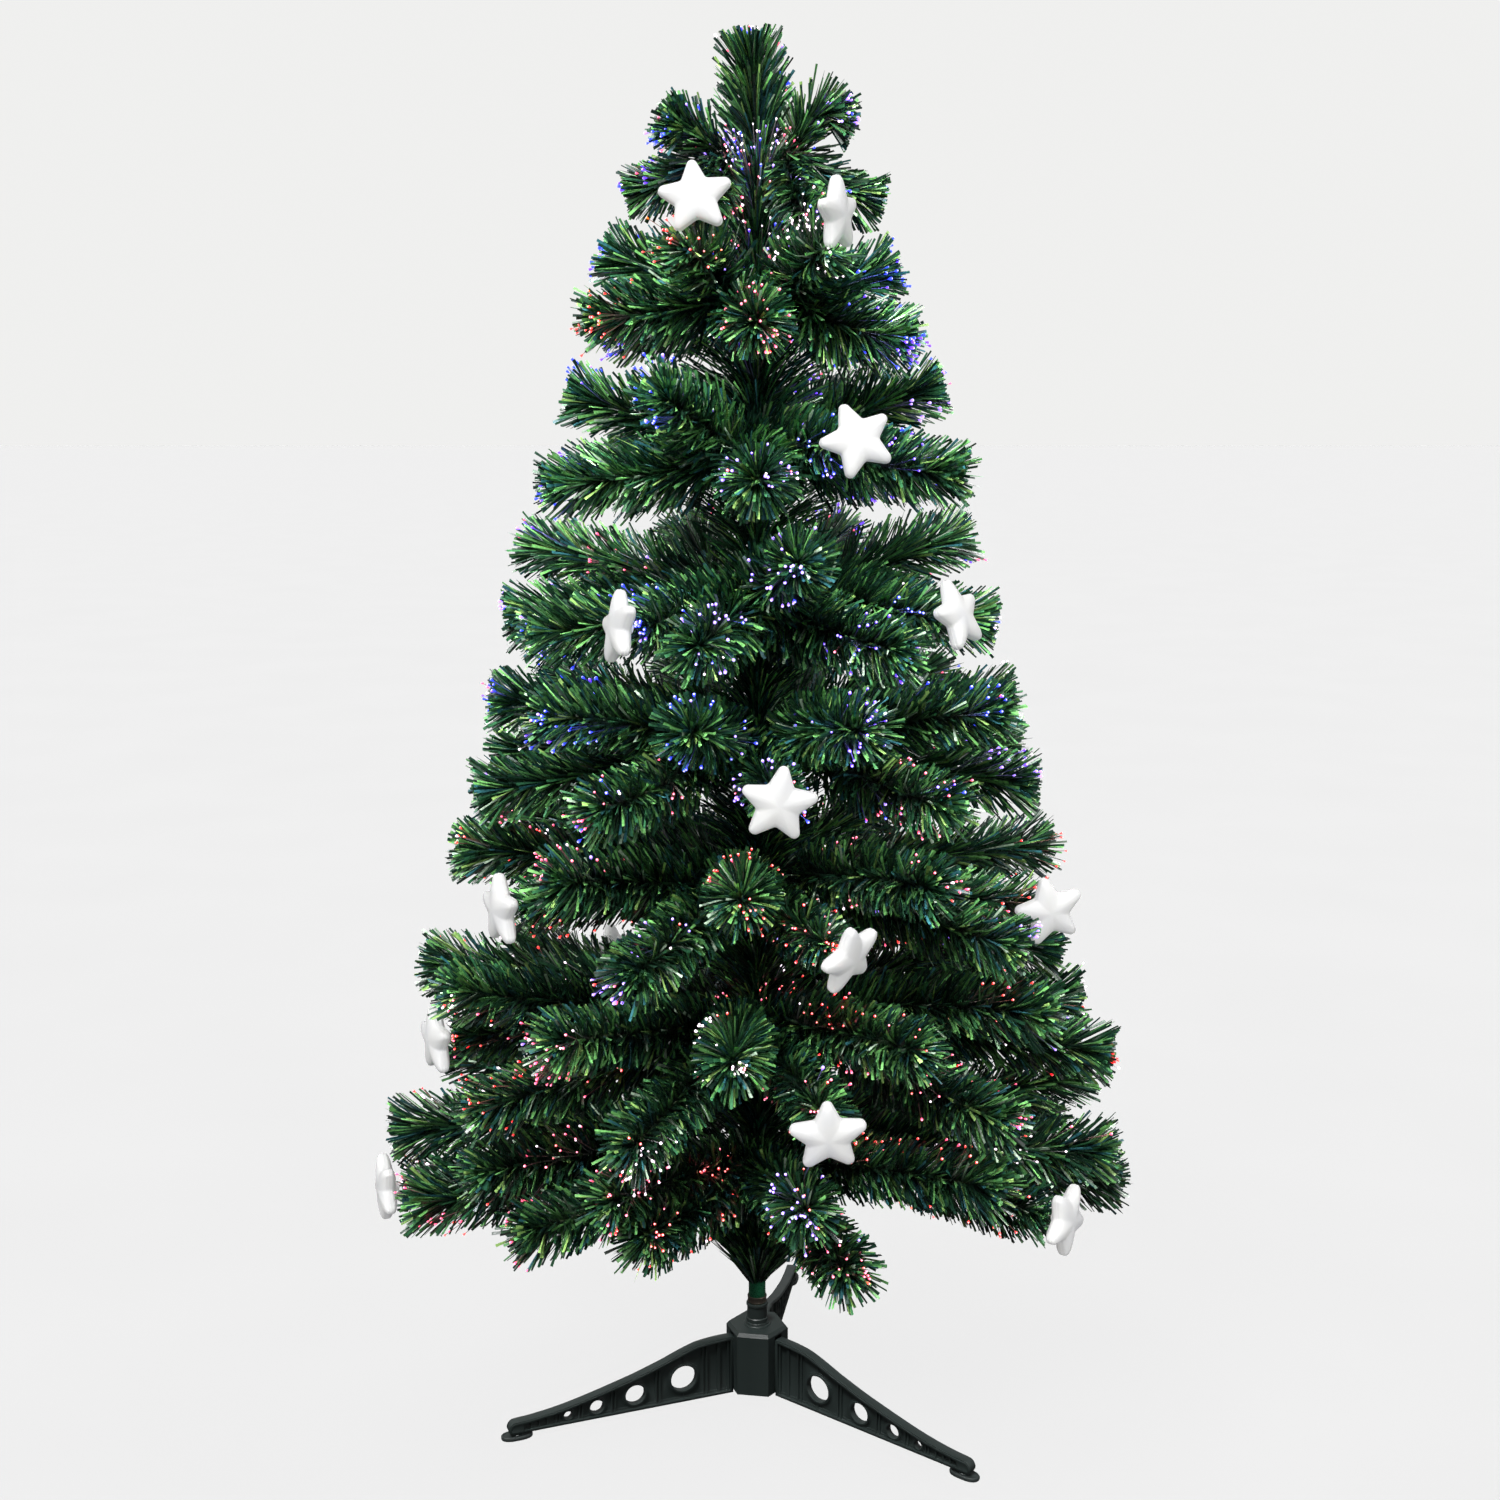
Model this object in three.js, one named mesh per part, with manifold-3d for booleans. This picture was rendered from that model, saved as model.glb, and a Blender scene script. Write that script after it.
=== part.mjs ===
// Artificial tree with light-guide branches on a three-legged stand.
// Millimetres, +Z up, floor at z = 0 under the trunk's axis. The front faces -Y.
import * as THREE from "three";
import { mergeVertices } from "three/addons/utils/BufferGeometryUtils.js";
import Module from "manifold-3d";

const wasm = await Module();
wasm.setup();

// ---- stand -------------------------------------------------------------
const HUB_CORNER_R = 28.5; // hexagon, centre to corner
const HUB_APOTHEM = HUB_CORNER_R * Math.cos(Math.PI / 6);
const HUB_Z0 = 8; // underside
const HUB_Z1 = 67; // top face
const HUB_WALL = 2.8;
const HUB_FACE_DEG = 261; // outward direction of the front face, from +X towards +Y
const LEG_DEG = [201, 321, 81];
const INLET_DEG = 141;
const SOCKET_BORE_R = 8.05;
const SOCKET_OUT_R = 9.2;
const SOCKET_TOP = 88;
const SHELF_Z = 44; // the trunk stands here
const BELL_R = 13.2; // ring inside the hub that holds the lamp module
const BELL_Z = 29.5;
const LEG_W = 10; // flange width
const LEG_WEB = 3;
const LEG_FLANGE = 2.5;
const LEG_U0 = 25; // root of the visible leg
const PAD_U = 226; // foot pad centre from the axis
const LEG_END = 234;
const LEG_Z0 = 5.4; // underside
const TONGUE = { u0: 13.9, u1: 27, w: 9.4, z0: 11, z1: 58 };
const SLOT = { w: 10.2, z0: 9.8, z1: 62.5 };
const HOLES = [
  [72, 27.1, 11, 2],
  [117.7, 20.1, 8.3, 1.8],
  [153.6, 15.6, 5.5, 1.5],
  [180.1, 12.8, 3.3, 1.2],
];
const RIBS_U = [38.5, 50, 96.5, 138.5, 168.5, 199, 206.5];
const PAD = { a: 14, b: 7.4, h: 4.2, stemR: 2.8, stemTop: 12.6 };

// ---- trunk -------------------------------------------------------------
const LOWER = { r: 7.7, ri: 6.9, z0: SHELF_Z + 0.4, z1: 668 };
const UPPER = { r: 6.6, ri: 5.8, z0: 641, z1: 1105 };
const PIVOT_R = 13.5; // branch pins stand this far from the axis
const PIN_R = 1.5;
const EYE_BORE_R = 1.9;
const EYE_R = 3.4;
const EYE_W = 6;
const CHEEK = { gap: 3.5, t: 1.4, h: 6.4, x1: 17 };
const TOP_STEM = 1190;

// ---- branches ----------------------------------------------------------
const WIRE_R = 2;
const STEM_R = 6;
const TWIG = [4.8, 7.6, 14.5]; // radius of a twig's needle core at the fork, halfway and at its end
const STAR_TWIG = [4.6, 5.6, 7];
const CORE_SHORT = 21; // the core ends this far inside the needle ends
const CORE_SHORT_LOW = 9; // on the lowest ring
const FORK_IN = 0.14;
const FORK_OUT = 0.3;
const ROOT_Z = [240, 366, 490, 610, 732, 855, 975, 1098]; // one height per ring of branches
// ring, azimuth of the stem, tips as [azimuth, radius to the needle ends, height, star]. Azimuth in degrees from the front, + to the right.
const BRANCHES = [
  [0, 2.5, [[-38, 284, 246], [-24, 290, 292], [-17, 270, 247], [8, 290, 293], [15.5, 276, 236], [40, 296, 289]]],
  [0, 91.5, [[53, 309, 250, "star_13"], [70, 322, 275], [90, 332, 205], [100, 313, 285], [115, 324, 215], [130, 306, 285]]],
  [0, -177.5, [[145, 319, 215], [160, 302, 285], [175, 309, 215], [-170, 301, 285], [-155, 317, 215], [-140, 304, 285]]],
  [0, -87.5, [[-125, 322, 215], [-110, 310, 285], [-80, 316, 288], [-78, 328, 227, "star_12"], [-65, 313, 233], [-50, 301, 288]]],
  [1, -11.5, [[-49, 302, 345], [-34, 288, 410], [-19, 302, 345], [-4, 288, 410], [10.48, 288.5, 359.2, "star_11"], [26, 288, 410]]],
  [1, 78.5, [[41, 302, 345], [56, 288, 410], [71, 315, 360], [86, 286, 380], [101, 302, 345], [116, 288, 410]]],
  [1, 168.5, [[131, 302, 345], [146, 288, 410], [161, 302, 345], [176, 288, 410], [-169, 302, 345], [-154, 288, 410]]],
  [1, -107, [[-150, 296, 345, "star_15"], [-124, 284, 380], [-109, 322, 338], [-94, 299, 401], [-71.81, 284.1, 367.1, "star_10"], [-64, 300, 404]]],
  [2, -20, [[-53, 255, 497, "star_08"], [-39, 260, 527], [-21, 273, 470], [-3, 260, 527], [15.33, 258.4, 485.7, "star_09"]]],
  [2, 69, [[33, 260, 527], [51, 273, 470], [68.77, 259.3, 480.1, "star_07"], [87, 267, 425], [105, 278, 500]]],
  [2, 159, [[123, 273, 470], [141, 260, 527], [159, 273, 470], [177, 260, 527], [-165, 273, 470]]],
  [2, -111, [[-147, 260, 527], [-129, 273, 470], [-111, 260, 527], [-99, 274, 500], [-75, 262, 524]]],
  [3, -32, [[-68, 250, 581], [-50, 229, 648], [-32, 244, 587], [-14, 229, 648], [4, 229, 598.2, "star_06"]]],
  [3, 58, [[22, 229, 648], [40, 244, 587], [58, 240, 648], [76, 243, 581], [94, 225, 643]]],
  [3, 148, [[112, 257, 587], [130, 229, 648], [148, 244, 587], [166, 229, 648], [-176, 244, 587]]],
  [3, -122, [[-158, 229, 648], [-140, 244, 587], [-122, 229, 648], [-104, 244, 587], [-86, 230, 643]]],
  [4, -13.5, [[-61.5, 213, 712], [-32.63, 197.2, 724, "star_04"], [-13.5, 213, 712], [10.5, 197, 774], [32.6, 212, 707]]],
  [4, 105.4, [[54.11, 196.5, 727.8, "star_05"], [82.5, 204, 715], [106.5, 197, 776], [130.5, 213, 712], [154.5, 197, 774]]],
  [4, -134.1, [[176, 216, 712, "star_14"], [-157.5, 197, 774], [-133.5, 213, 712], [-109.5, 222, 768], [-85.5, 215, 718]]],
  [5, -15, [[-60, 196, 830], [-30, 161, 897], [0, 181, 836], [29.23, 157.8, 865, "star_03"]]],
  [5, 105, [[60, 192, 839], [90, 158, 903], [120, 181, 836], [150, 161, 897]]],
  [5, -135, [[-180, 181, 836], [-150, 161, 897], [-120, 190, 836], [-90, 162, 897]]],
  [6, -45, [[-90, 131, 1011], [-60, 158, 962], [-30, 129, 1012], [0, 145, 955]]],
  [6, 75, [[30, 129, 1012], [60, 145, 946], [90, 119, 999], [120, 145, 955]]],
  [6, -165, [[150, 129, 1012], [-180, 145, 955], [-150, 129, 1012], [-120, 145, 955]]],
  [7, -63, [[-90, 118, 1067], [-68, 84, 1122], [-26.87, 105.8, 1050.4, "star_01"]]],
  [7, 67.8, [[35, 109, 1038, "star_02"], [72, 80, 1131], [92, 111, 1062]]],
  [7, 178, [[148, 113, 1064], [178, 90, 1130], [-152, 113, 1064]]],
];

// ---- stars -------------------------------------------------------------
const STAR = { r: 29.6, inner: 16.8, tip: 4.2, rim: 2, dome: 6, bossR: 4, bossEnd: 11, boreR: 2, boreEnd: 4.4 };
// star centre is at the tip's own azimuth, radius and height: facing azimuth, roll and upward tilt
const STARS = {
  star_01: [-6, 7.5, 16],
  star_02: [62, 6, 0],
  star_03: [8, 22, 12],
  star_04: [-68, 16, 9],
  star_05: [52, 9, 20],
  star_06: [6, -8, -6],
  star_07: [12, 13.5, -5],
  star_08: [-60, 5, 0],
  star_09: [50, 21, -21],
  star_10: [-62, 6, 0],
  star_11: [4, 3, -14],
  star_12: [-70, 30, 0],
  star_13: [56, 34, 0],
  star_14: [172, 6, 0],
  star_15: [-146, -5, 0],
};

// ---- helpers -----------------------------------------------------------
const RAD = Math.PI / 180;
const V = (x, y, z) => new THREE.Vector3(x, y, z);
const out = (az) => V(Math.sin(az * RAD), -Math.cos(az * RAD), 0);
const side = (az) => V(Math.cos(az * RAD), Math.sin(az * RAD), 0);

function solid(geometry) {
  const g = geometry.index ? geometry.toNonIndexed() : geometry.clone();
  g.deleteAttribute("normal");
  g.deleteAttribute("uv");
  const m = mergeVertices(g, 1e-4);
  const make = (tri) =>
    new wasm.Manifold(
      new wasm.Mesh({
        numProp: 3,
        vertProperties: new Float32Array(m.attributes.position.array),
        triVerts: tri,
      }),
    );
  const tri = new Uint32Array(m.index.array);
  let s = make(tri);
  if (s.volume() < 0) {
    for (let i = 0; i < tri.length; i += 3)
      [tri[i + 1], tri[i + 2]] = [tri[i + 2], tri[i + 1]];
    s = make(tri);
  }
  return s;
}

function geometryOf(manifold) {
  const m = manifold.getMesh();
  const n = m.numProp;
  const p = new Float32Array(m.numVert * 3);
  for (let i = 0; i < m.numVert; i++)
    p.set(m.vertProperties.subarray(i * n, i * n + 3), i * 3);
  const g = new THREE.BufferGeometry()
    .setAttribute("position", new THREE.BufferAttribute(p, 3))
    .setIndex(new THREE.BufferAttribute(new Uint32Array(m.triVerts), 1));
  const flat = g.toNonIndexed();
  flat.computeVertexNormals();
  return flat;
}

// profile of [radius, height] about Z
function turned(profile, segments, turnDeg = 0) {
  const g = new THREE.LatheGeometry(
    profile.map(([r, z]) => new THREE.Vector2(r, z)),
    segments,
  );
  g.rotateX(Math.PI / 2);
  g.rotateZ(turnDeg * RAD);
  return solid(g);
}

function ring(r0, r1, z0, z1, segments) {
  return turned([[r0, z0], [r1, z0], [r1, z1], [r0, z1], [r0, z0]], segments);
}

function ngon(r, n, turn = 0) {
  const s = new THREE.Shape();
  for (let i = 0; i < n; i++) {
    const a = turn + (2 * Math.PI * i) / n;
    if (i) s.lineTo(r * Math.cos(a), r * Math.sin(a));
    else s.moveTo(r * Math.cos(a), r * Math.sin(a));
  }
  return s;
}

function tube(points, r, sides, steps) {
  const path =
    points.length === 2
      ? new THREE.LineCurve3(points[0], points[1])
      : new THREE.CatmullRomCurve3(points, false, "centripetal");
  return solid(
    new THREE.ExtrudeGeometry(ngon(r, sides), {
      steps,
      extrudePath: path,
      bevelEnabled: false,
    }),
  );
}

// a core through the points with one radius at each
function flare(points, radii, sides) {
  const path = new THREE.CatmullRomCurve3(points, false, "centripetal");
  const up = V(0, 0, 1);
  const rings = points.map((p, i) => {
    const d = path.getTangent(i / (points.length - 1));
    const a = up.clone().cross(d).normalize();
    const b = d.clone().cross(a);
    return Array.from({ length: sides }, (_, k) => {
      const w = (2 * Math.PI * (k + 0.5)) / sides;
      return p
        .clone()
        .addScaledVector(a, radii[i] * Math.cos(w))
        .addScaledVector(b, radii[i] * Math.sin(w));
    });
  });
  const pos = [];
  const tri = (x, y, z) => [x, y, z].forEach((q) => pos.push(q.x, q.y, q.z));
  for (let i = 0; i + 1 < rings.length; i++)
    for (let k = 0; k < sides; k++) {
      const l = (k + 1) % sides;
      tri(rings[i][k], rings[i][l], rings[i + 1][k]);
      tri(rings[i][l], rings[i + 1][l], rings[i + 1][k]);
    }
  const last = rings.length - 1;
  for (let k = 1; k + 1 < sides; k++) {
    tri(rings[0][0], rings[0][k + 1], rings[0][k]);
    tri(rings[last][0], rings[last][k], rings[last][k + 1]);
  }
  return solid(
    new THREE.BufferGeometry().setAttribute(
      "position",
      new THREE.Float32BufferAttribute(pos, 3),
    ),
  );
}

function box(x0, x1, y0, y1, z0, z1) {
  const g = new THREE.BoxGeometry(x1 - x0, y1 - y0, z1 - z0);
  g.translate((x0 + x1) / 2, (y0 + y1) / 2, (z0 + z1) / 2);
  return solid(g);
}

// a flat outline of [u, z] given thickness along v, from v0 to v1
function plate(outline, v0, v1) {
  const s = new THREE.Shape(outline.map(([u, z]) => new THREE.Vector2(u, z)));
  const g = new THREE.ExtrudeGeometry(s, { depth: v1 - v0, bevelEnabled: false });
  g.rotateX(Math.PI / 2); // (u, z) stays, thickness runs towards -v
  g.translate(0, v1, 0);
  return solid(g);
}

const disc = (u, z, r, n, v0, v1) =>
  plate(
    Array.from({ length: n }, (_, i) => {
      const a = (2 * Math.PI * (i + 0.5)) / n;
      return [u + r * Math.cos(a), z + r * Math.sin(a)];
    }),
    v0,
    v1,
  );

const union = (list) => list.reduce((a, b) => a.add(b));

const group = new THREE.Group();
const placed = {};
function add(name, shape, colour, roughness, metalness = 0) {
  const mesh = new THREE.Mesh(
    shape.isBufferGeometry ? shape : geometryOf(shape),
    new THREE.MeshStandardMaterial({ color: colour, roughness, metalness }),
  );
  mesh.name = name;
  group.add(mesh);
  placed[name] = mesh;
  return mesh;
}

const PLASTIC = 0x333b38;
const GREEN = 0x1f4a2f;
const DEEP = 0x17382a;

// ---- stand hub ---------------------------------------------------------
const atFace = (s, deg) => s.rotate([0, 0, deg]);
{
  const turn = HUB_FACE_DEG + 30 - 90;
  const inner = HUB_CORNER_R - HUB_WALL / Math.cos(Math.PI / 6);
  let hub = turned(
    [[0, HUB_Z0], [HUB_CORNER_R, HUB_Z0], [HUB_CORNER_R, HUB_Z1 - 3], [HUB_CORNER_R - 2.6, HUB_Z1], [0, HUB_Z1]],
    6,
    turn,
  ).subtract(
    turned([[0, HUB_Z0 - 2], [inner, HUB_Z0 - 2], [inner, HUB_Z1 - 3], [0, HUB_Z1 - 3]], 6, turn),
  );
  hub = hub.add(
    turned(
      [
        [0, BELL_Z],
        [BELL_R, BELL_Z],
        [BELL_R, HUB_Z1 - 1.5],
        [10.7, HUB_Z1 - 1.5],
        [10.7, HUB_Z1 + 3],
        [10, HUB_Z1 + 3.4],
        [10, HUB_Z1 + 6.6],
        [SOCKET_OUT_R, HUB_Z1 + 7.2],
        [SOCKET_OUT_R, SOCKET_TOP - 3.2],
        [SOCKET_OUT_R + 0.7, SOCKET_TOP - 2.8],
        [SOCKET_OUT_R + 0.7, SOCKET_TOP - 0.5],
        [SOCKET_OUT_R + 0.3, SOCKET_TOP],
        [0, SOCKET_TOP],
      ],
      24,
    ),
  );
  for (const deg of LEG_DEG)
    for (const s of [-1, 1]) {
      const v0 = s > 0 ? SLOT.w / 2 : -SLOT.w / 2 - 1.6;
      hub = hub.add(
        atFace(box(11.5, HUB_APOTHEM - 1.5, v0, v0 + 1.6, SLOT.z0, HUB_Z1 - 1.5), deg),
      );
    }
  hub = hub.subtract(
    turned(
      [[0, BELL_Z - 2], [11.4, BELL_Z - 2], [11.4, 42], [6.7, 42], [6.7, SHELF_Z], [SOCKET_BORE_R, SHELF_Z], [SOCKET_BORE_R, SOCKET_TOP + 2], [0, SOCKET_TOP + 2]],
      24,
    ),
  );
  for (const deg of LEG_DEG)
    hub = hub.subtract(
      atFace(box(BELL_R + 0.1, HUB_APOTHEM + 5, -SLOT.w / 2, SLOT.w / 2, SLOT.z0, SLOT.z1), deg),
    );
  // hole for the power inlet
  const cut = solid(new THREE.CylinderGeometry(4.9, 4.9, 12, 16))
    .rotate([0, 0, 90])
    .translate([HUB_APOTHEM, 0, 20]);
  hub = hub.subtract(atFace(cut, INLET_DEG));
  add("stand_hub", hub, PLASTIC, 0.45);
}

// ---- legs --------------------------------------------------------------
const legTop = [[LEG_U0, 59.5], [40, 59.3], [52, 58.3], [67, 55], [78, 51.2], [92, 45.8], [105, 41.5], [120, 36.8], [139, 31.7], [155, 27.6], [176, 22.7], [195, 19.2], [213, 17], [222, 16.5], [230, 15], [LEG_END, 12], [LEG_END, 8], [231.6, LEG_Z0]];
const legOutline = [[LEG_U0, LEG_Z0], ...legTop].reverse();
const legInner = [
  [LEG_U0 + 2.6, LEG_Z0 + 2.4],
  [LEG_U0 + 2.6, 59.5 - LEG_FLANGE],
  ...legTop.slice(1, 13).map(([u, z]) => [u - 0.5, z - LEG_FLANGE - 0.1]),
  [216, 14.1],
  [216, LEG_Z0 + 2.4],
].reverse();
function legSolid() {
  let leg = plate(legOutline, -LEG_W / 2, LEG_W / 2);
  for (const s of [-1, 1]) {
    const v = [LEG_WEB / 2, LEG_W / 2 + 1].map((x) => x * s).sort((a, b) => a - b);
    leg = leg.subtract(plate(legInner, v[0], v[1]));
  }
  const band = plate(
    legInner.map(([u, z]) => [u, z + (z > LEG_Z0 + 3 ? 0.6 : -0.6)]),
    -LEG_W,
    LEG_W,
  );
  for (const u of RIBS_U)
    leg = leg.add(box(u - 0.8, u + 0.8, -4.4, 4.4, LEG_Z0, 62).intersect(band));
  for (const [u, z, r, t] of HOLES) leg = leg.add(disc(u, z, r + t, 10, -4.4, 4.4));
  for (const [u, z, r] of HOLES) leg = leg.subtract(disc(u, z, r, 10, -9, 9));
  leg = leg.add(
    box(TONGUE.u0, TONGUE.u1, -TONGUE.w / 2, TONGUE.w / 2, TONGUE.z0, TONGUE.z1),
  );
  // pocket for the pad's stem
  leg = leg.add(box(PAD_U - 5.2, PAD_U + 5.2, -4.9, 4.9, LEG_Z0, 14));
  return leg.subtract(
    turned([[0, 4], [3.2, 4], [3.2, 13], [0, 13]], 12).translate([PAD_U, 0, 0]),
  );
}
const leg = legSolid();
const pad = (() => {
  const s = new THREE.Shape();
  for (let i = 0; i < 16; i++) {
    const a = (2 * Math.PI * i) / 16;
    const p = [(PAD.a - 0.9) * Math.cos(a), (PAD.b - 0.9) * Math.sin(a)];
    if (i) s.lineTo(...p);
    else s.moveTo(...p);
  }
  const g = new THREE.ExtrudeGeometry(s, {
    depth: PAD.h - 1.6,
    bevelEnabled: true,
    bevelThickness: 0.8,
    bevelSize: 0.9,
    bevelSegments: 1,
  });
  g.translate(0, 0, 0.8);
  return solid(g)
    .add(turned([[0, 2], [PAD.stemR, 2], [PAD.stemR, PAD.stemTop - 1], [PAD.stemR - 0.8, PAD.stemTop], [0, PAD.stemTop]], 12))
    .translate([PAD_U, 0, 0]);
})();
LEG_DEG.forEach((deg, i) => {
  add(`leg_${i + 1}`, leg.rotate([0, 0, deg]), PLASTIC, 0.45);
  add(`foot_pad_${i + 1}`, pad.rotate([0, 0, deg]), 0x2b3230, 0.7);
});

// ---- lamp module inside the hub ----------------------------------------
add(
  "lamp_housing",
  turned([[0, 13], [11, 13], [11, 41.6], [9.7, 41.6], [9.7, 38.4], [8.8, 38.4], [8.8, 21.7], [7.4, 21.7], [7.4, 15], [0, 15]], 24),
  0x202422,
  0.5,
);
add("lamp_window", turned([[0, 38.7], [9.4, 38.7], [9.4, 41.2], [0, 41.2]], 20), 0xdfe6ea, 0.1);
{
  let board = turned([[0, 22], [8.4, 22], [8.4, 23.6], [0, 23.6]], 20);
  for (let i = 0; i < 3; i++)
    board = board.add(
      turned([[0, 23], [2.2, 23], [2.2, 24.6], [1.4, 25.6], [0, 26]], 10)
        .translate([4.3, 0, 0])
        .rotate([0, 0, 120 * i]),
    );
  add("lamp_board", board, 0xe8e4d4, 0.5);
}
add(
  "power_inlet",
  turned([[0, 14.6], [4.5, 14.6], [4.5, 25], [6.2, 25], [6.2, 27], [2.9, 27], [2.9, 17], [0.9, 17], [0.9, 25.9], [0, 25.9]], 16)
    .rotate([0, 90, 0])
    .translate([0, 0, 20])
    .rotate([0, 0, INLET_DEG]),
  0x151716,
  0.4,
);

// ---- trunk -------------------------------------------------------------
function bracket(az, z, x0) {
  const parts = [-1, 1].map((s) => {
    const y = s * (CHEEK.gap + CHEEK.t / 2);
    return box(x0, CHEEK.x1, y - CHEEK.t / 2, y + CHEEK.t / 2, -CHEEK.h / 2, CHEEK.h / 2);
  });
  const half = CHEEK.gap + CHEEK.t / 2;
  parts.push(
    solid(new THREE.CylinderGeometry(PIN_R, PIN_R, 2 * half, 8)).translate([PIVOT_R, 0, 0]),
  );
  return union(parts)
    .rotate([0, 0, az - 90])
    .translate([0, 0, z]);
}
function trunkPart(t, rings, x0) {
  let s = ring(t.ri, t.r, t.z0, t.z1, 16);
  for (const [d, az] of BRANCHES)
    if (rings.includes(d)) s = s.add(bracket(az, ROOT_Z[d], x0));
  return s;
}
add("trunk_lower", trunkPart(LOWER, [0, 1, 2, 3], 6), GREEN, 0.4);
add("trunk_upper", trunkPart(UPPER, [4, 5, 6, 7], 5.1), GREEN, 0.4);
add("trunk_ring", ring(8, 8.7, SOCKET_TOP + 0.4, SOCKET_TOP + 6.8, 24), 0x8a7a66, 0.35, 0.9);
add("fibre_ferrule", ring(6.15, 6.6, 44.9, 61, 20), 0xb08d57, 0.3, 0.9);
add(
  "fibre_bundle",
  turned([[0, 45.6], [5.8, 45.6], [5.8, 62], [6.3, 64], [6.2, 628], [5.3, 646], [4.6, 800], [3.2, 950], [1.8, 1085], [0, 1085]], 14),
  0xcfd8dc,
  0.2,
);
add(
  "tree_top",
  turned([[0, 1091], [5.4, 1091], [5.4, 1105.4], [6.4, 1105.4], [6.4, 1108], [5.4, 1110], [5, 1172], [2.4, TOP_STEM], [0, TOP_STEM]], 10),
  DEEP,
  0.6,
);

// ---- branches and stars ------------------------------------------------
const layout = [];
BRANCHES.forEach(([deck, az, tips], i) => {
  const name = `branch_${String(i + 1).padStart(2, "0")}`;
  const zr = ROOT_Z[deck];
  const far = Math.max(...tips.map((t) => t[1]));
  const at = (a, r, z) => out(a).multiplyScalar(r).add(V(0, 0, z));
  const pivot = at(az, PIVOT_R, zr);
  const eye = ring(EYE_BORE_R, EYE_R, -EYE_W / 2, EYE_W / 2, 8)
    .rotate([0, 0, 22.5])
    .rotate([90, 0, 0])
    .translate([PIVOT_R, 0, 0])
    .rotate([0, 0, az - 90])
    .translate([0, 0, zr]);
  const fork = Math.max(FORK_OUT * far, 40);
  const mean = tips.reduce((s, t) => s + t[2], 0) / tips.length;
  const rise = 0.22 * (mean - zr);
  const stemEnd = at(az, fork, zr + rise);
  const parts = [
    eye,
    tube([at(az, PIVOT_R + 2.6, zr), at(az, 30, zr + rise * 0.35)], WIRE_R, 6, 1),
    tube([at(az, 25, zr + rise * 0.28), stemEnd], STEM_R, 6, 1),
  ];
  const paths = [];
  const widest = Math.max(...tips.map((t) => Math.abs(wrap(t[0] - az))), 1);
  for (const [a, r, z, star] of tips) {
    const da = wrap(a - az);
    const k = FORK_OUT - (FORK_OUT - FORK_IN) * Math.abs(da / widest);
    const rs = Math.max(27, Math.min(k * far, fork - 4));
    const s = at(az, rs, zr + (rise * rs) / fork);
    let end, wireEnd, face;
    if (star) {
      const [fa, , tilt] = STARS[star];
      face = out(fa).multiplyScalar(Math.cos(tilt * RAD)).add(V(0, 0, Math.sin(tilt * RAD)));
      const c = at(a, r, z);
      end = c.clone().addScaledVector(face, -18);
      wireEnd = c.clone().addScaledVector(face, -5.2);
    } else end = at(a, r - (deck ? CORE_SHORT : CORE_SHORT_LOW), z);
    const ra = Math.hypot(end.x, end.y);
    const ea = Math.atan2(end.x, -end.y) / RAD;
    const m = at(az + wrap(ea - az) * 0.9, rs + (ra - rs) * 0.5, zr + (z - zr) * 0.62);
    parts.push(flare([s, m, end], star ? STAR_TWIG : TWIG, 5));
    if (star)
      parts.push(tube([end.clone().addScaledVector(face, -4), wireEnd], 1.5, 6, 1));
    paths.push({
      points: [s, m, end].map((p) => p.toArray().map((x) => +x.toFixed(2))),
      star: star || null,
    });
  }
  add(name, union(parts), i % 2 ? GREEN : DEEP, 0.7);
  layout.push({
    name,
    deck,
    az,
    pivot: pivot.toArray(),
    axis: side(az).negate().toArray(),
    stem: [at(az, PIVOT_R, zr), stemEnd].map((p) => p.toArray().map((x) => +x.toFixed(2))),
    paths,
  });
});

function wrap(a) {
  return ((((a + 180) % 360) + 360) % 360) - 180;
}

// puffed five-pointed star: an elliptical dome on each side of a short rim
function starSolid() {
  const base = [];
  for (let i = 0; i < 5; i++) {
    const a = (90 + 72 * i) * RAD;
    const c = [(STAR.r - STAR.tip) * Math.cos(a), (STAR.r - STAR.tip) * Math.sin(a)];
    for (const w of [-62, 0, 62]) {
      const b = a + w * RAD;
      base.push([c[0] + STAR.tip * Math.cos(b), c[1] + STAR.tip * Math.sin(b)]);
    }
    const b = a + 36 * RAD;
    base.push([STAR.inner * Math.cos(b), STAR.inner * Math.sin(b)]);
  }
  const level = (k) => STAR.rim + STAR.dome * Math.sqrt(1 - k * k);
  const rows = [[0.55, -level(0.55)], [1, -STAR.rim], [1, STAR.rim], [0.82, level(0.82)], [0.45, level(0.45)]];
  const at = ([k, z], i) => {
    const [x, y] = base[i % base.length];
    return [x * k, y * k, z];
  };
  const pos = [];
  base.forEach((_, i) => {
    pos.push(0, 0, -level(0), ...at(rows[0], i + 1), ...at(rows[0], i));
    for (let j = 0; j + 1 < rows.length; j++) {
      pos.push(...at(rows[j], i), ...at(rows[j], i + 1), ...at(rows[j + 1], i + 1));
      pos.push(...at(rows[j], i), ...at(rows[j + 1], i + 1), ...at(rows[j + 1], i));
    }
    const last = rows[rows.length - 1];
    pos.push(0, 0, level(0), ...at(last, i), ...at(last, i + 1));
  });
  const body = solid(
    new THREE.BufferGeometry().setAttribute("position", new THREE.Float32BufferAttribute(pos, 3)),
  );
  return body
    .add(turned([[0, -STAR.bossEnd], [STAR.bossR, -STAR.bossEnd], [STAR.bossR + 0.6, -6], [0, -6]], 10))
    .subtract(turned([[0, -STAR.bossEnd - 2], [STAR.boreR, -STAR.bossEnd - 2], [STAR.boreR, -STAR.boreEnd], [0, -STAR.boreEnd]], 8));
}
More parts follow.
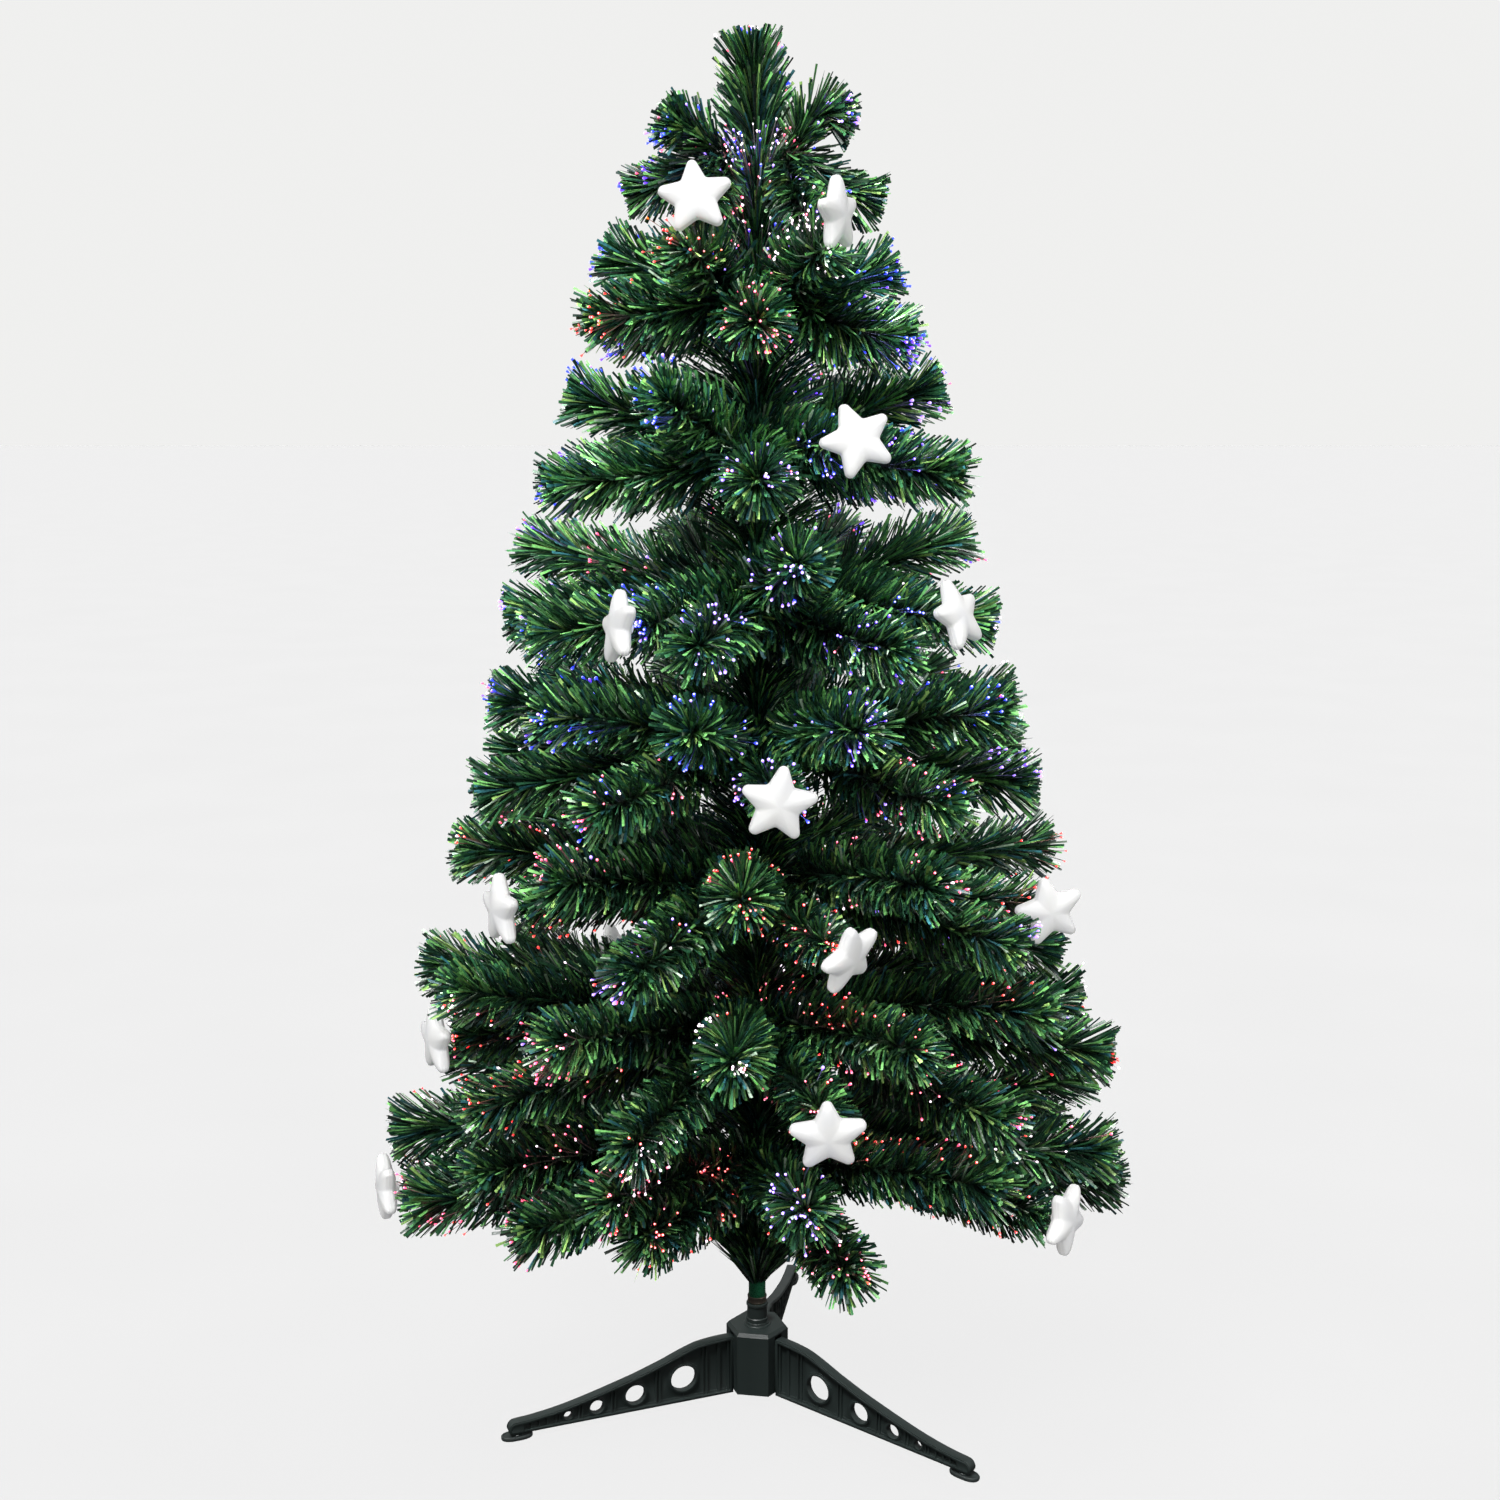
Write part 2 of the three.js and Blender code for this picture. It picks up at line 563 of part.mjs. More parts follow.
const star = starSolid();
const starPoses = {};
for (const [, , tips] of BRANCHES)
  for (const [a, r, z, name] of tips) {
    if (!name) continue;
    const [fa, roll, tilt] = STARS[name];
    const n = out(fa).multiplyScalar(Math.cos(tilt * RAD)).add(V(0, 0, Math.sin(tilt * RAD)));
    const right = V(0, 0, 1).cross(n).normalize();
    const up = n.clone().cross(right);
    const m = new THREE.Matrix4().makeBasis(right, up, n);
    m.multiply(new THREE.Matrix4().makeRotationZ(roll * RAD));
    const mesh = add(name, star, 0xf3f1ea, 0.35);
    mesh.quaternion.setFromRotationMatrix(m);
    mesh.position.copy(out(a).multiplyScalar(r).add(V(0, 0, z)));
    mesh.updateMatrix();
    starPoses[name] = mesh.matrix.toArray().map((x) => +x.toFixed(4));
  }

group.userData = { layout, starPoses };
export default group;
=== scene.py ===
import bmesh
import bpy
import math
import numpy as np
from mathutils import Matrix, Vector


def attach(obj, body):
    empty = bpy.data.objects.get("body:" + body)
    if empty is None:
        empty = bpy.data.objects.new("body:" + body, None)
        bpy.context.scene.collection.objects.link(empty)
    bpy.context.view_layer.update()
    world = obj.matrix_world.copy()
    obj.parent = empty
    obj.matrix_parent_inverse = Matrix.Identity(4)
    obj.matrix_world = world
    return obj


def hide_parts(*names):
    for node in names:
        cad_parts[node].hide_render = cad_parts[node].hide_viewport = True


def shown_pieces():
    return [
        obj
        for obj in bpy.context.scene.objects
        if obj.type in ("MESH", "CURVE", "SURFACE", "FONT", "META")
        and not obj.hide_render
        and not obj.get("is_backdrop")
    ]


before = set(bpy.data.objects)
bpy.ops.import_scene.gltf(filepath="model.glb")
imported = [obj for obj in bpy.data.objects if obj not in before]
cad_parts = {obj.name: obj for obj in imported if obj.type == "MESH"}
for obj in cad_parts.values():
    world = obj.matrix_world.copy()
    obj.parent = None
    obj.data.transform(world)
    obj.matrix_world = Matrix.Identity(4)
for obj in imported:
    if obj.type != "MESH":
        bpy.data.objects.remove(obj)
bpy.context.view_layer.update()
MM = 0.001
RAD = math.pi / 180

# ---- layout, the same as the solids' ------------------------------------
ROOT_Z = [240, 366, 490, 610, 732, 855, 975, 1098]
# ring, azimuth of the stem, tips as (azimuth, radius to the needle ends, height, star)
BRANCHES = [
    (0, 2.5, [(-38, 284, 246), (-24, 290, 292), (-17, 270, 247), (8, 290, 293), (15.5, 276, 236), (40, 296, 289)]),
    (0, 91.5, [(53, 309, 250, "star_13"), (70, 322, 275), (90, 332, 205), (100, 313, 285), (115, 324, 215), (130, 306, 285)]),
    (0, -177.5, [(145, 319, 215), (160, 302, 285), (175, 309, 215), (-170, 301, 285), (-155, 317, 215), (-140, 304, 285)]),
    (0, -87.5, [(-125, 322, 215), (-110, 310, 285), (-80, 316, 288), (-78, 328, 227, "star_12"), (-65, 313, 233), (-50, 301, 288)]),
    (1, -11.5, [(-49, 302, 345), (-34, 288, 410), (-19, 302, 345), (-4, 288, 410), (10.48, 288.5, 359.2, "star_11"), (26, 288, 410)]),
    (1, 78.5, [(41, 302, 345), (56, 288, 410), (71, 315, 360), (86, 286, 380), (101, 302, 345), (116, 288, 410)]),
    (1, 168.5, [(131, 302, 345), (146, 288, 410), (161, 302, 345), (176, 288, 410), (-169, 302, 345), (-154, 288, 410)]),
    (1, -107, [(-150, 296, 345, "star_15"), (-124, 284, 380), (-109, 322, 338), (-94, 299, 401), (-71.81, 284.1, 367.1, "star_10"), (-64, 300, 404)]),
    (2, -20, [(-53, 255, 497, "star_08"), (-39, 260, 527), (-21, 273, 470), (-3, 260, 527), (15.33, 258.4, 485.7, "star_09")]),
    (2, 69, [(33, 260, 527), (51, 273, 470), (68.77, 259.3, 480.1, "star_07"), (87, 267, 425), (105, 278, 500)]),
    (2, 159, [(123, 273, 470), (141, 260, 527), (159, 273, 470), (177, 260, 527), (-165, 273, 470)]),
    (2, -111, [(-147, 260, 527), (-129, 273, 470), (-111, 260, 527), (-99, 274, 500), (-75, 262, 524)]),
    (3, -32, [(-68, 250, 581), (-50, 229, 648), (-32, 244, 587), (-14, 229, 648), (4, 229, 598.2, "star_06")]),
    (3, 58, [(22, 229, 648), (40, 244, 587), (58, 240, 648), (76, 243, 581), (94, 225, 643)]),
    (3, 148, [(112, 257, 587), (130, 229, 648), (148, 244, 587), (166, 229, 648), (-176, 244, 587)]),
    (3, -122, [(-158, 229, 648), (-140, 244, 587), (-122, 229, 648), (-104, 244, 587), (-86, 230, 643)]),
    (4, -13.5, [(-61.5, 213, 712), (-32.63, 197.2, 724, "star_04"), (-13.5, 213, 712), (10.5, 197, 774), (32.6, 212, 707)]),
    (4, 105.4, [(54.11, 196.5, 727.8, "star_05"), (82.5, 204, 715), (106.5, 197, 776), (130.5, 213, 712), (154.5, 197, 774)]),
    (4, -134.1, [(176, 216, 712, "star_14"), (-157.5, 197, 774), (-133.5, 213, 712), (-109.5, 222, 768), (-85.5, 215, 718)]),
    (5, -15, [(-60, 196, 830), (-30, 161, 897), (0, 181, 836), (29.23, 157.8, 865, "star_03")]),
    (5, 105, [(60, 192, 839), (90, 158, 903), (120, 181, 836), (150, 161, 897)]),
    (5, -135, [(-180, 181, 836), (-150, 161, 897), (-120, 190, 836), (-90, 162, 897)]),
    (6, -45, [(-90, 131, 1011), (-60, 158, 962), (-30, 129, 1012), (0, 145, 955)]),
    (6, 75, [(30, 129, 1012), (60, 145, 946), (90, 119, 999), (120, 145, 955)]),
    (6, -165, [(150, 129, 1012), (-180, 145, 955), (-150, 129, 1012), (-120, 145, 955)]),
    (7, -63, [(-90, 118, 1067), (-68, 84, 1122), (-26.87, 105.8, 1050.4, "star_01")]),
    (7, 67.8, [(35, 109, 1038, "star_02"), (72, 80, 1131), (92, 111, 1062)]),
    (7, 178, [(148, 113, 1064), (178, 90, 1130), (-152, 113, 1064)]),
]
STARS = {
    "star_01": (-6, 7.5, 16), "star_02": (62, 6, 0), "star_03": (8, 22, 12),
    "star_04": (-68, 16, 9), "star_05": (52, 9, 20), "star_06": (6, -8, -6),
    "star_07": (12, 13.5, -5), "star_08": (-60, 5, 0), "star_09": (50, 21, -21),
    "star_10": (-62, 6, 0), "star_11": (4, 3, -14), "star_12": (-70, 30, 0),
    "star_13": (56, 34, 0), "star_14": (172, 6, 0), "star_15": (-146, -5, 0),
}
LEG_DEG = [201, 321, 81]
HUB_FACE_DEG = 261
INLET_DEG = 141
PAD_U = 226
PIVOT_R = 13.5


def out(az):
    return np.array([math.sin(az * RAD), -math.cos(az * RAD), 0.0])


def side(az):
    return np.array([math.cos(az * RAD), math.sin(az * RAD), 0.0])


def at(az, r, z):
    return out(az) * r + np.array([0, 0, z])


def wrap(a):
    return (a + 180) % 360 - 180


# ---- meshes --------------------------------------------------------------
def link(o):
    bpy.context.scene.collection.objects.link(o)
    return o


def make_mesh(name, verts, tris, tint=None, smooth=False, index=None):
    """verts in millimetres, triangles, one colour per vertex."""
    v = np.asarray(verts, np.float32) * MM
    f = np.asarray(tris, np.int32)
    me = bpy.data.meshes.new(name)
    me.vertices.add(len(v))
    me.vertices.foreach_set("co", v.ravel())
    me.loops.add(f.size)
    me.loops.foreach_set("vertex_index", f.ravel())
    me.polygons.add(len(f))
    me.polygons.foreach_set("loop_start", np.arange(0, f.size, 3, dtype=np.int32))
    if index is not None:
        me.polygons.foreach_set("material_index", np.asarray(index, np.int32))
    me.update(calc_edges=True)
    me.shade_smooth() if smooth else me.shade_flat()
    if tint is not None:
        a = me.color_attributes.new("tint", "FLOAT_COLOR", "POINT")
        c = np.ones((len(v), 4), np.float32)
        c[:, :3] = tint
        a.data.foreach_set("color", c.ravel())
    return link(bpy.data.objects.new(name, me))


class Bag:
    """Triangles of many small closed shapes, gathered into one mesh."""

    def __init__(self):
        self.v, self.f, self.c, self.n = [], [], [], 0

    def add(self, v, f, c):
        v = np.asarray(v, np.float32)
        self.v.append(v)
        self.f.append(np.asarray(f, np.int32) + self.n)
        c = np.asarray(c, np.float32)
        self.c.append(np.broadcast_to(c, (len(v), 3)) if c.ndim == 1 else c)
        self.n += len(v)

    def make(self, name, smooth=False):
        return make_mesh(name, np.vstack(self.v), np.vstack(self.f), np.vstack(self.c), smooth)


def frames(points):
    """Unit tangents and two normals along a line of points, without twist."""
    p = np.asarray(points, float)
    t = np.gradient(p, axis=0)
    t /= np.linalg.norm(t, axis=1)[:, None]
    a = np.cross(t[0], [0, 0, 1.0])
    if np.linalg.norm(a) < 1e-3:
        a = np.array([1.0, 0, 0])
    n = []
    for d in t:
        a = a - d * (a @ d)
        a = a / np.linalg.norm(a)
        n.append(a)
    n = np.array(n)
    return t, n, np.cross(t, n)


def tube(points, radii, sides, turn=0.0):
    p = np.asarray(points, float)
    r = np.broadcast_to(np.asarray(radii, float), (len(p),))
    t, a, b = frames(p)
    w = np.arange(sides) * 2 * math.pi / sides + turn
    rings = (
        p[:, None]
        + r[:, None, None] * (a[:, None] * np.cos(w)[None, :, None] + b[:, None] * np.sin(w)[None, :, None])
    )
    v = rings.reshape(-1, 3)
    f = []
    for i in range(len(p) - 1):
        for k in range(sides):
            l = (k + 1) % sides
            q = (i * sides + k, i * sides + l, (i + 1) * sides + l, (i + 1) * sides + k)
            f += [(q[0], q[1], q[2]), (q[0], q[2], q[3])]
    m = (len(p) - 1) * sides
    for k in range(1, sides - 1):
        f += [(0, k + 1, k), (m, m + k, m + k + 1)]
    return v, np.array(f)


def prism(outline, z0, z1):
    """Closed solid of a flat outline, any simple polygon, counter-clockwise."""
    me = bpy.data.meshes.new("p")
    n = len(outline)
    v = [(x * MM, y * MM, z0 * MM) for x, y in outline] + [(x * MM, y * MM, z1 * MM) for x, y in outline]
    f = [tuple(range(n - 1, -1, -1)), tuple(range(n, 2 * n))]
    f += [(i, (i + 1) % n, n + (i + 1) % n, n + i) for i in range(n)]
    me.from_pydata(v, [], f)
    return link(bpy.data.objects.new("p", me))


def lathe(profile, n, turn=0.0):
    """Solid turned about Z from a profile of (radius, height) that starts and ends on the axis, or closes on itself."""
    prof = list(profile)
    closed = prof[0] == prof[-1]
    if closed:
        prof = prof[:-1]
    v, rows = [], []
    for r, z in prof:
        if r < 1e-6:
            rows.append([len(v)] * n)
            v.append((0, 0, z * MM))
        else:
            rows.append(list(range(len(v), len(v) + n)))
            for k in range(n):
                w = turn + 2 * math.pi * k / n
                v.append((r * MM * math.cos(w), r * MM * math.sin(w), z * MM))
    f = []
    m = len(prof)
    for i in range(m if closed else m - 1):
        a, b = rows[i], rows[(i + 1) % m]
        for k in range(n):
            l = (k + 1) % n
            q = [a[k], a[l], b[l], b[k]]
            q = [x for j, x in enumerate(q) if x not in q[:j]]
            if len(q) > 2:
                f.append(tuple(q))
    me = bpy.data.meshes.new("l")
    me.from_pydata(v, [], f)
    o = link(bpy.data.objects.new("l", me))
    bm = bmesh.new()
    bm.from_mesh(me)
    bmesh.ops.recalc_face_normals(bm, faces=bm.faces)
    bm.to_mesh(me)
    bm.free()
    return o


def place(o, m):
    o.data.transform(m)
    return o


def bake_mods(o):
    dg = bpy.context.evaluated_depsgraph_get()
    dg.update()
    me = bpy.data.meshes.new_from_object(o.evaluated_get(dg))
    o.modifiers.clear()
    old = o.data
    o.data = me
    bpy.data.meshes.remove(old)
    return o


def boolean(o, tools, op):
    for t in tools:
        m = o.modifiers.new("b", "BOOLEAN")
        m.object, m.operation, m.solver = t, op, "EXACT"
    bake_mods(o)
    for t in tools:
        bpy.data.objects.remove(t)
    return o


def tidy(o, width=0.0, segments=2, angle=30, smooth_angle=35):
    """Joins flat faces, rounds the edges by width in millimetres and shades smooth between sharp edges."""
    bm = bmesh.new()
    bm.from_mesh(o.data)
    bmesh.ops.remove_doubles(bm, verts=bm.verts, dist=2e-6)
    bmesh.ops.dissolve_limit(bm, angle_limit=0.4 * RAD, verts=bm.verts, edges=bm.edges)
    bm.to_mesh(o.data)
    bm.free()
    if width:
        m = o.modifiers.new("r", "BEVEL")
        m.width, m.segments, m.limit_method, m.angle_limit = width * MM, segments, "ANGLE", angle * RAD
        m.use_clamp_overlap = True
        m.miter_outer = "MITER_ARC"
        m.harden_normals = False
        bake_mods(o)
    o.data.shade_smooth()
    o.data.set_sharp_from_angle(angle=smooth_angle * RAD)
    return o


def finish_piece(o, name, body, nodes, slot, *mats):
    o.name = name
    o.data.name = name
    o.data.materials.clear()
    for m in mats:
        o.data.materials.append(m)
    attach(o, body)
    if nodes:
        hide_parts(*nodes)
    return o


# ---- materials -----------------------------------------------------------
def new_mat(name):
    m = bpy.data.materials.new(name)
    m.use_nodes = True
    t = m.node_tree
    return m, t, t.nodes, t.links, t.nodes["Principled BSDF"]


def node(t, kind, **inputs):
    n = t.nodes.new(kind)
    for k, v in inputs.items():
        n.inputs[k.replace("_", " ")].default_value = v
    return n


def ramp(t, fac, stops):
    r = t.nodes.new("ShaderNodeValToRGB")
    e = r.color_ramp.elements
    while len(e) < len(stops):
        e.new(0.5)
    for el, (p, c) in zip(e, stops):
        el.position = p
        el.color = (*c, 1) if len(c) == 3 else c
    t.links.new(fac, r.inputs["Fac"])
    return r


def mix_rgb(t, kind, fac, a, b):
    m = t.nodes.new("ShaderNodeMix")
    m.data_type = "RGBA"
    m.blend_type = kind
    if isinstance(fac, (int, float)):
        m.inputs[0].default_value = fac
    else:
        t.links.new(fac, m.inputs[0])
    for sock, val in ((m.inputs[6], a), (m.inputs[7], b)):
        if isinstance(val, tuple):
            sock.default_value = (*val, 1)
        else:
            t.links.new(val, sock)
    return m.outputs[2]


def tinted(name, rough, spec=0.5, noise=380.0, depth=0.35, emission=0.0, coat=0.0):
    """Colour per needle or strand from the mesh (for needles it holds painted shade at the root and a painted highlight
    at the tip), broken up along its length, with a crease in the surface.
    """
    m, t, n, l, p = new_mat(name)
    a = n.new("ShaderNodeAttribute")
    a.attribute_name = "tint"
    c = n.new("ShaderNodeTexCoord")
    z = node(t, "ShaderNodeTexNoise", Scale=noise, Detail=3.0)
    l.new(c.outputs["Object"], z.inputs["Vector"])
    r = ramp(t, z.outputs["Fac"], [(0.3, (1 - depth,) * 3), (0.7, (1 + depth,) * 3)])
    col = mix_rgb(t, "MULTIPLY", 1.0, a.outputs["Color"], r.outputs["Color"])
    l.new(col, p.inputs["Base Color"])
    rr = node(t, "ShaderNodeMapRange")
    l.new(z.outputs["Fac"], rr.inputs["Value"])
    rr.inputs["To Min"].default_value = max(rough - 0.12, 0.05)
    rr.inputs["To Max"].default_value = rough + 0.12
    l.new(rr.outputs["Result"], p.inputs["Roughness"])
    p.inputs["Specular IOR Level"].default_value = spec
    if coat:
        p.inputs["Coat Weight"].default_value = coat
        p.inputs["Coat Roughness"].default_value = 0.25
    b = node(t, "ShaderNodeBump", Strength=0.35, Distance=0.0004)
    l.new(z.outputs["Fac"], b.inputs["Height"])
    l.new(b.outputs["Normal"], p.inputs["Normal"])
    if emission:
        l.new(a.outputs["Color"], p.inputs["Emission Color"])
        p.inputs["Emission Strength"].default_value = emission
    return m


def plastic(name, colour, rough=0.42, grain=2600.0, wear=0.06, bump=0.12, spec=0.5):
    """Moulded plastic: fine spark-eroded grain, faint flow streaks and slightly polished high spots."""
    m, t, n, l, p = new_mat(name)
    c = n.new("ShaderNodeTexCoord")
    fine = node(t, "ShaderNodeTexNoise", Scale=grain, Detail=2.0)
    wide = node(t, "ShaderNodeTexNoise", Scale=22.0, Detail=4.0)
    stretch = n.new("ShaderNodeMapping")
    stretch.inputs["Scale"].default_value = (1, 1, 0.25)
    l.new(c.outputs["Object"], fine.inputs["Vector"])
    l.new(c.outputs["Object"], stretch.inputs["Vector"])
    l.new(stretch.outputs["Vector"], wide.inputs["Vector"])
    r = ramp(t, wide.outputs["Fac"], [(0.3, tuple(x * (1 - wear * 2) for x in colour)), (0.7, tuple(x * (1 + wear * 2) for x in colour))])
    g = ramp(t, fine.outputs["Fac"], [(0.35, (0.94,) * 3), (0.65, (1.06,) * 3)])
    l.new(mix_rgb(t, "MULTIPLY", 1.0, r.outputs["Color"], g.outputs["Color"]), p.inputs["Base Color"])
    rr = node(t, "ShaderNodeMapRange")
    l.new(wide.outputs["Fac"], rr.inputs["Value"])
    rr.inputs["To Min"].default_value = rough - 0.08
    rr.inputs["To Max"].default_value = rough + 0.1
    l.new(rr.outputs["Result"], p.inputs["Roughness"])
    b = node(t, "ShaderNodeBump", Strength=bump, Distance=0.0002)
    l.new(fine.outputs["Fac"], b.inputs["Height"])
    l.new(b.outputs["Normal"], p.inputs["Normal"])
    p.inputs["Specular IOR Level"].default_value = spec
    return m


def metal(name, colour, rough=0.3, turned=True, metallic=1.0):
    """Metal with fine turning lines and a few dull stains."""
    m, t, n, l, p = new_mat(name)
    c = n.new("ShaderNodeTexCoord")
    mp = n.new("ShaderNodeMapping")
    mp.inputs["Scale"].default_value = (40, 40, 3200) if turned else (900, 900, 900)
    z = node(t, "ShaderNodeTexNoise", Scale=1.0, Detail=3.0)
    l.new(c.outputs["Object"], mp.inputs["Vector"])
    l.new(mp.outputs["Vector"], z.inputs["Vector"])
    s = node(t, "ShaderNodeTexNoise", Scale=120.0, Detail=5.0)
    l.new(c.outputs["Object"], s.inputs["Vector"])
    r = ramp(t, s.outputs["Fac"], [(0.35, tuple(x * 0.6 for x in colour)), (0.62, colour)])
    l.new(r.outputs["Color"], p.inputs["Base Color"])
    p.inputs["Metallic"].default_value = metallic
    rr = node(t, "ShaderNodeMapRange")
    l.new(z.outputs["Fac"], rr.inputs["Value"])
    rr.inputs["To Min"].default_value = rough - 0.1
    rr.inputs["To Max"].default_value = rough + 0.15
    l.new(rr.outputs["Result"], p.inputs["Roughness"])
    b = node(t, "ShaderNodeBump", Strength=0.15, Distance=0.0001)
    l.new(z.outputs["Fac"], b.inputs["Height"])
    l.new(b.outputs["Normal"], p.inputs["Normal"])
    return m


def frosted(name):
    """Frosted white moulded plastic with a faint painted glow: emission brightens it, though no lamp is inside."""
    m, t, n, l, p = new_mat(name)
    c = n.new("ShaderNodeTexCoord")
    fine = node(t, "ShaderNodeTexNoise", Scale=3200.0, Detail=2.0)
    wide = node(t, "ShaderNodeTexNoise", Scale=60.0, Detail=3.0)
    l.new(c.outputs["Object"], fine.inputs["Vector"])
    l.new(c.outputs["Object"], wide.inputs["Vector"])
    r = ramp(t, wide.outputs["Fac"], [(0.3, (0.80, 0.80, 0.80)), (0.7, (0.85, 0.85, 0.84))])
    l.new(r.outputs["Color"], p.inputs["Base Color"])
    # painted glow: this emission colour and the strength below make the star brighter, with no lamp in it
    e = ramp(t, wide.outputs["Fac"], [(0.3, (0.9, 0.93, 1.0)), (0.7, (1.0, 0.99, 0.96))])
    l.new(e.outputs["Color"], p.inputs["Emission Color"])
    p.inputs["Emission Strength"].default_value = 0.16
    p.inputs["Roughness"].default_value = 0.45
    p.inputs["Subsurface Weight"].default_value = 0.15
    p.inputs["Subsurface Radius"].default_value = (0.004, 0.004, 0.004)
    b = node(t, "ShaderNodeBump", Strength=0.2, Distance=0.0002)
    l.new(fine.outputs["Fac"], b.inputs["Height"])
    l.new(b.outputs["Normal"], p.inputs["Normal"])
    return m


def clear(name, colour=(0.9, 0.94, 0.96), rough=0.12):
    m, t, n, l, p = new_mat(name)
    c = n.new("ShaderNodeTexCoord")
    z = node(t, "ShaderNodeTexNoise", Scale=900.0, Detail=3.0)
    l.new(c.outputs["Object"], z.inputs["Vector"])
    r = ramp(t, z.outputs["Fac"], [(0.3, tuple(x * 0.85 for x in colour)), (0.7, colour)])
    l.new(r.outputs["Color"], p.inputs["Base Color"])
    p.inputs["Roughness"].default_value = rough
    p.inputs["Transmission Weight"].default_value = 0.55
    return m


NEEDLE = tinted("needle_film_painted_shade_and_highlight", 0.3, spec=0.5)
FIBRE = tinted("light_guide", 0.18, spec=0.6, noise=200.0, depth=0.15, emission=0.12)
GLOW = tinted("fibre_end_glow", 0.3, noise=500.0, depth=0.08, emission=2.6)
WIRE = tinted("twisted_wire", 0.45, noise=900.0, depth=0.4)
STAND = plastic("stand_plastic", (0.0115, 0.0165, 0.0155), rough=0.38, spec=0.38)
FOOT = plastic("foot_plastic", (0.0115, 0.0155, 0.015), rough=0.46, spec=0.4)
BLACK = plastic("lamp_plastic", (0.012, 0.013, 0.013), rough=0.4)
BOARD = plastic("board_white", (0.62, 0.6, 0.52), rough=0.5)
PAINT = metal("pole_paint", (0.016, 0.16, 0.07), rough=0.26, turned=False, metallic=0.45)
RING = metal("ring_metal", (0.20, 0.17, 0.14), rough=0.38)
BRASS = metal("ferrule_metal", (0.62, 0.45, 0.2), rough=0.3)
STAR = frosted("star_frosted_painted_glow")
CLEAR = clear("lamp_clear")

# ---- needles ---------------------------------------------------------------
NEEDLE_DARK = np.array([0.004, 0.016, 0.011])
NEEDLE_MID = np.array([0.019, 0.084, 0.034])
NEEDLE_LIGHT = np.array([0.100, 0.275, 0.078])
NEEDLE_BLUE = np.array([0.016, 0.070, 0.080])
NEEDLE_YELLOW = np.array([0.230, 0.400, 0.110])
# the pale tint below is a painted highlight: a few needles get it where light would catch the fold
NEEDLE_PAINTED_GLINT = np.array([0.360, 0.480, 0.360])
TETRA = np.array([[0, 1, 2], [0, 3, 1], [0, 2, 3], [1, 3, 2]])


def needle_tints(rng, n):
    """Film cut from sheets of a few greens: most dark, some bright, and a few pale ones that are painted highlights,
    where light would catch the fold.
    """
    m = rng.random(n)[:, None] ** 2.0
    c = NEEDLE_DARK * (1 - m) + NEEDLE_MID * m
    k = rng.random(n)
    for lo, hi, a, b in ((0.00, 0.20, NEEDLE_MID, NEEDLE_LIGHT), (0.20, 0.29, NEEDLE_LIGHT, NEEDLE_LIGHT * 1.3), (0.29, 0.38, NEEDLE_BLUE * 0.6, NEEDLE_BLUE * 1.4),
                         (0.38, 0.425, NEEDLE_YELLOW * 0.7, NEEDLE_YELLOW), (0.425, 0.452, NEEDLE_PAINTED_GLINT * 0.6, NEEDLE_PAINTED_GLINT * 1.1)):
        sel = (k >= lo) & (k < hi)
        u = rng.random((sel.sum(), 1))
        c[sel] = a * (1 - u) + b * u
    return c * np.exp(rng.normal(-0.06, 0.4, (n, 1)))


STAR_AT = []
for _deck, _az, _tips in BRANCHES:
    for _t in _tips:
        if len(_t) > 3:
            STAR_AT.append((at(*_t[:3]), out(STARS[_t[3]][0]), STARS[_t[3]][2]))


def clear_of_stars(root, tip):
    """False where a needle would lie in front of a star: the ornament holds the needles back there."""
    ok = np.ones(len(root), bool)
    for c, face, tilt in STAR_AT:
        n = face * math.cos(tilt * RAD) + np.array([0, 0, math.sin(tilt * RAD)])
        for u in (0.35, 0.7, 1.0):
            q = root * (1 - u) + tip * u - c
            h, hn = q @ face, q @ n
            flat = np.linalg.norm(q - h[:, None] * face, axis=1)
            flat_n = np.linalg.norm(q - hn[:, None] * n, axis=1)
            ok &= ~((flat < 29) & (h > 2) & (h < 62)) & ~((flat_n < 30) & (hn > -7) & (hn < 34))
    return ok


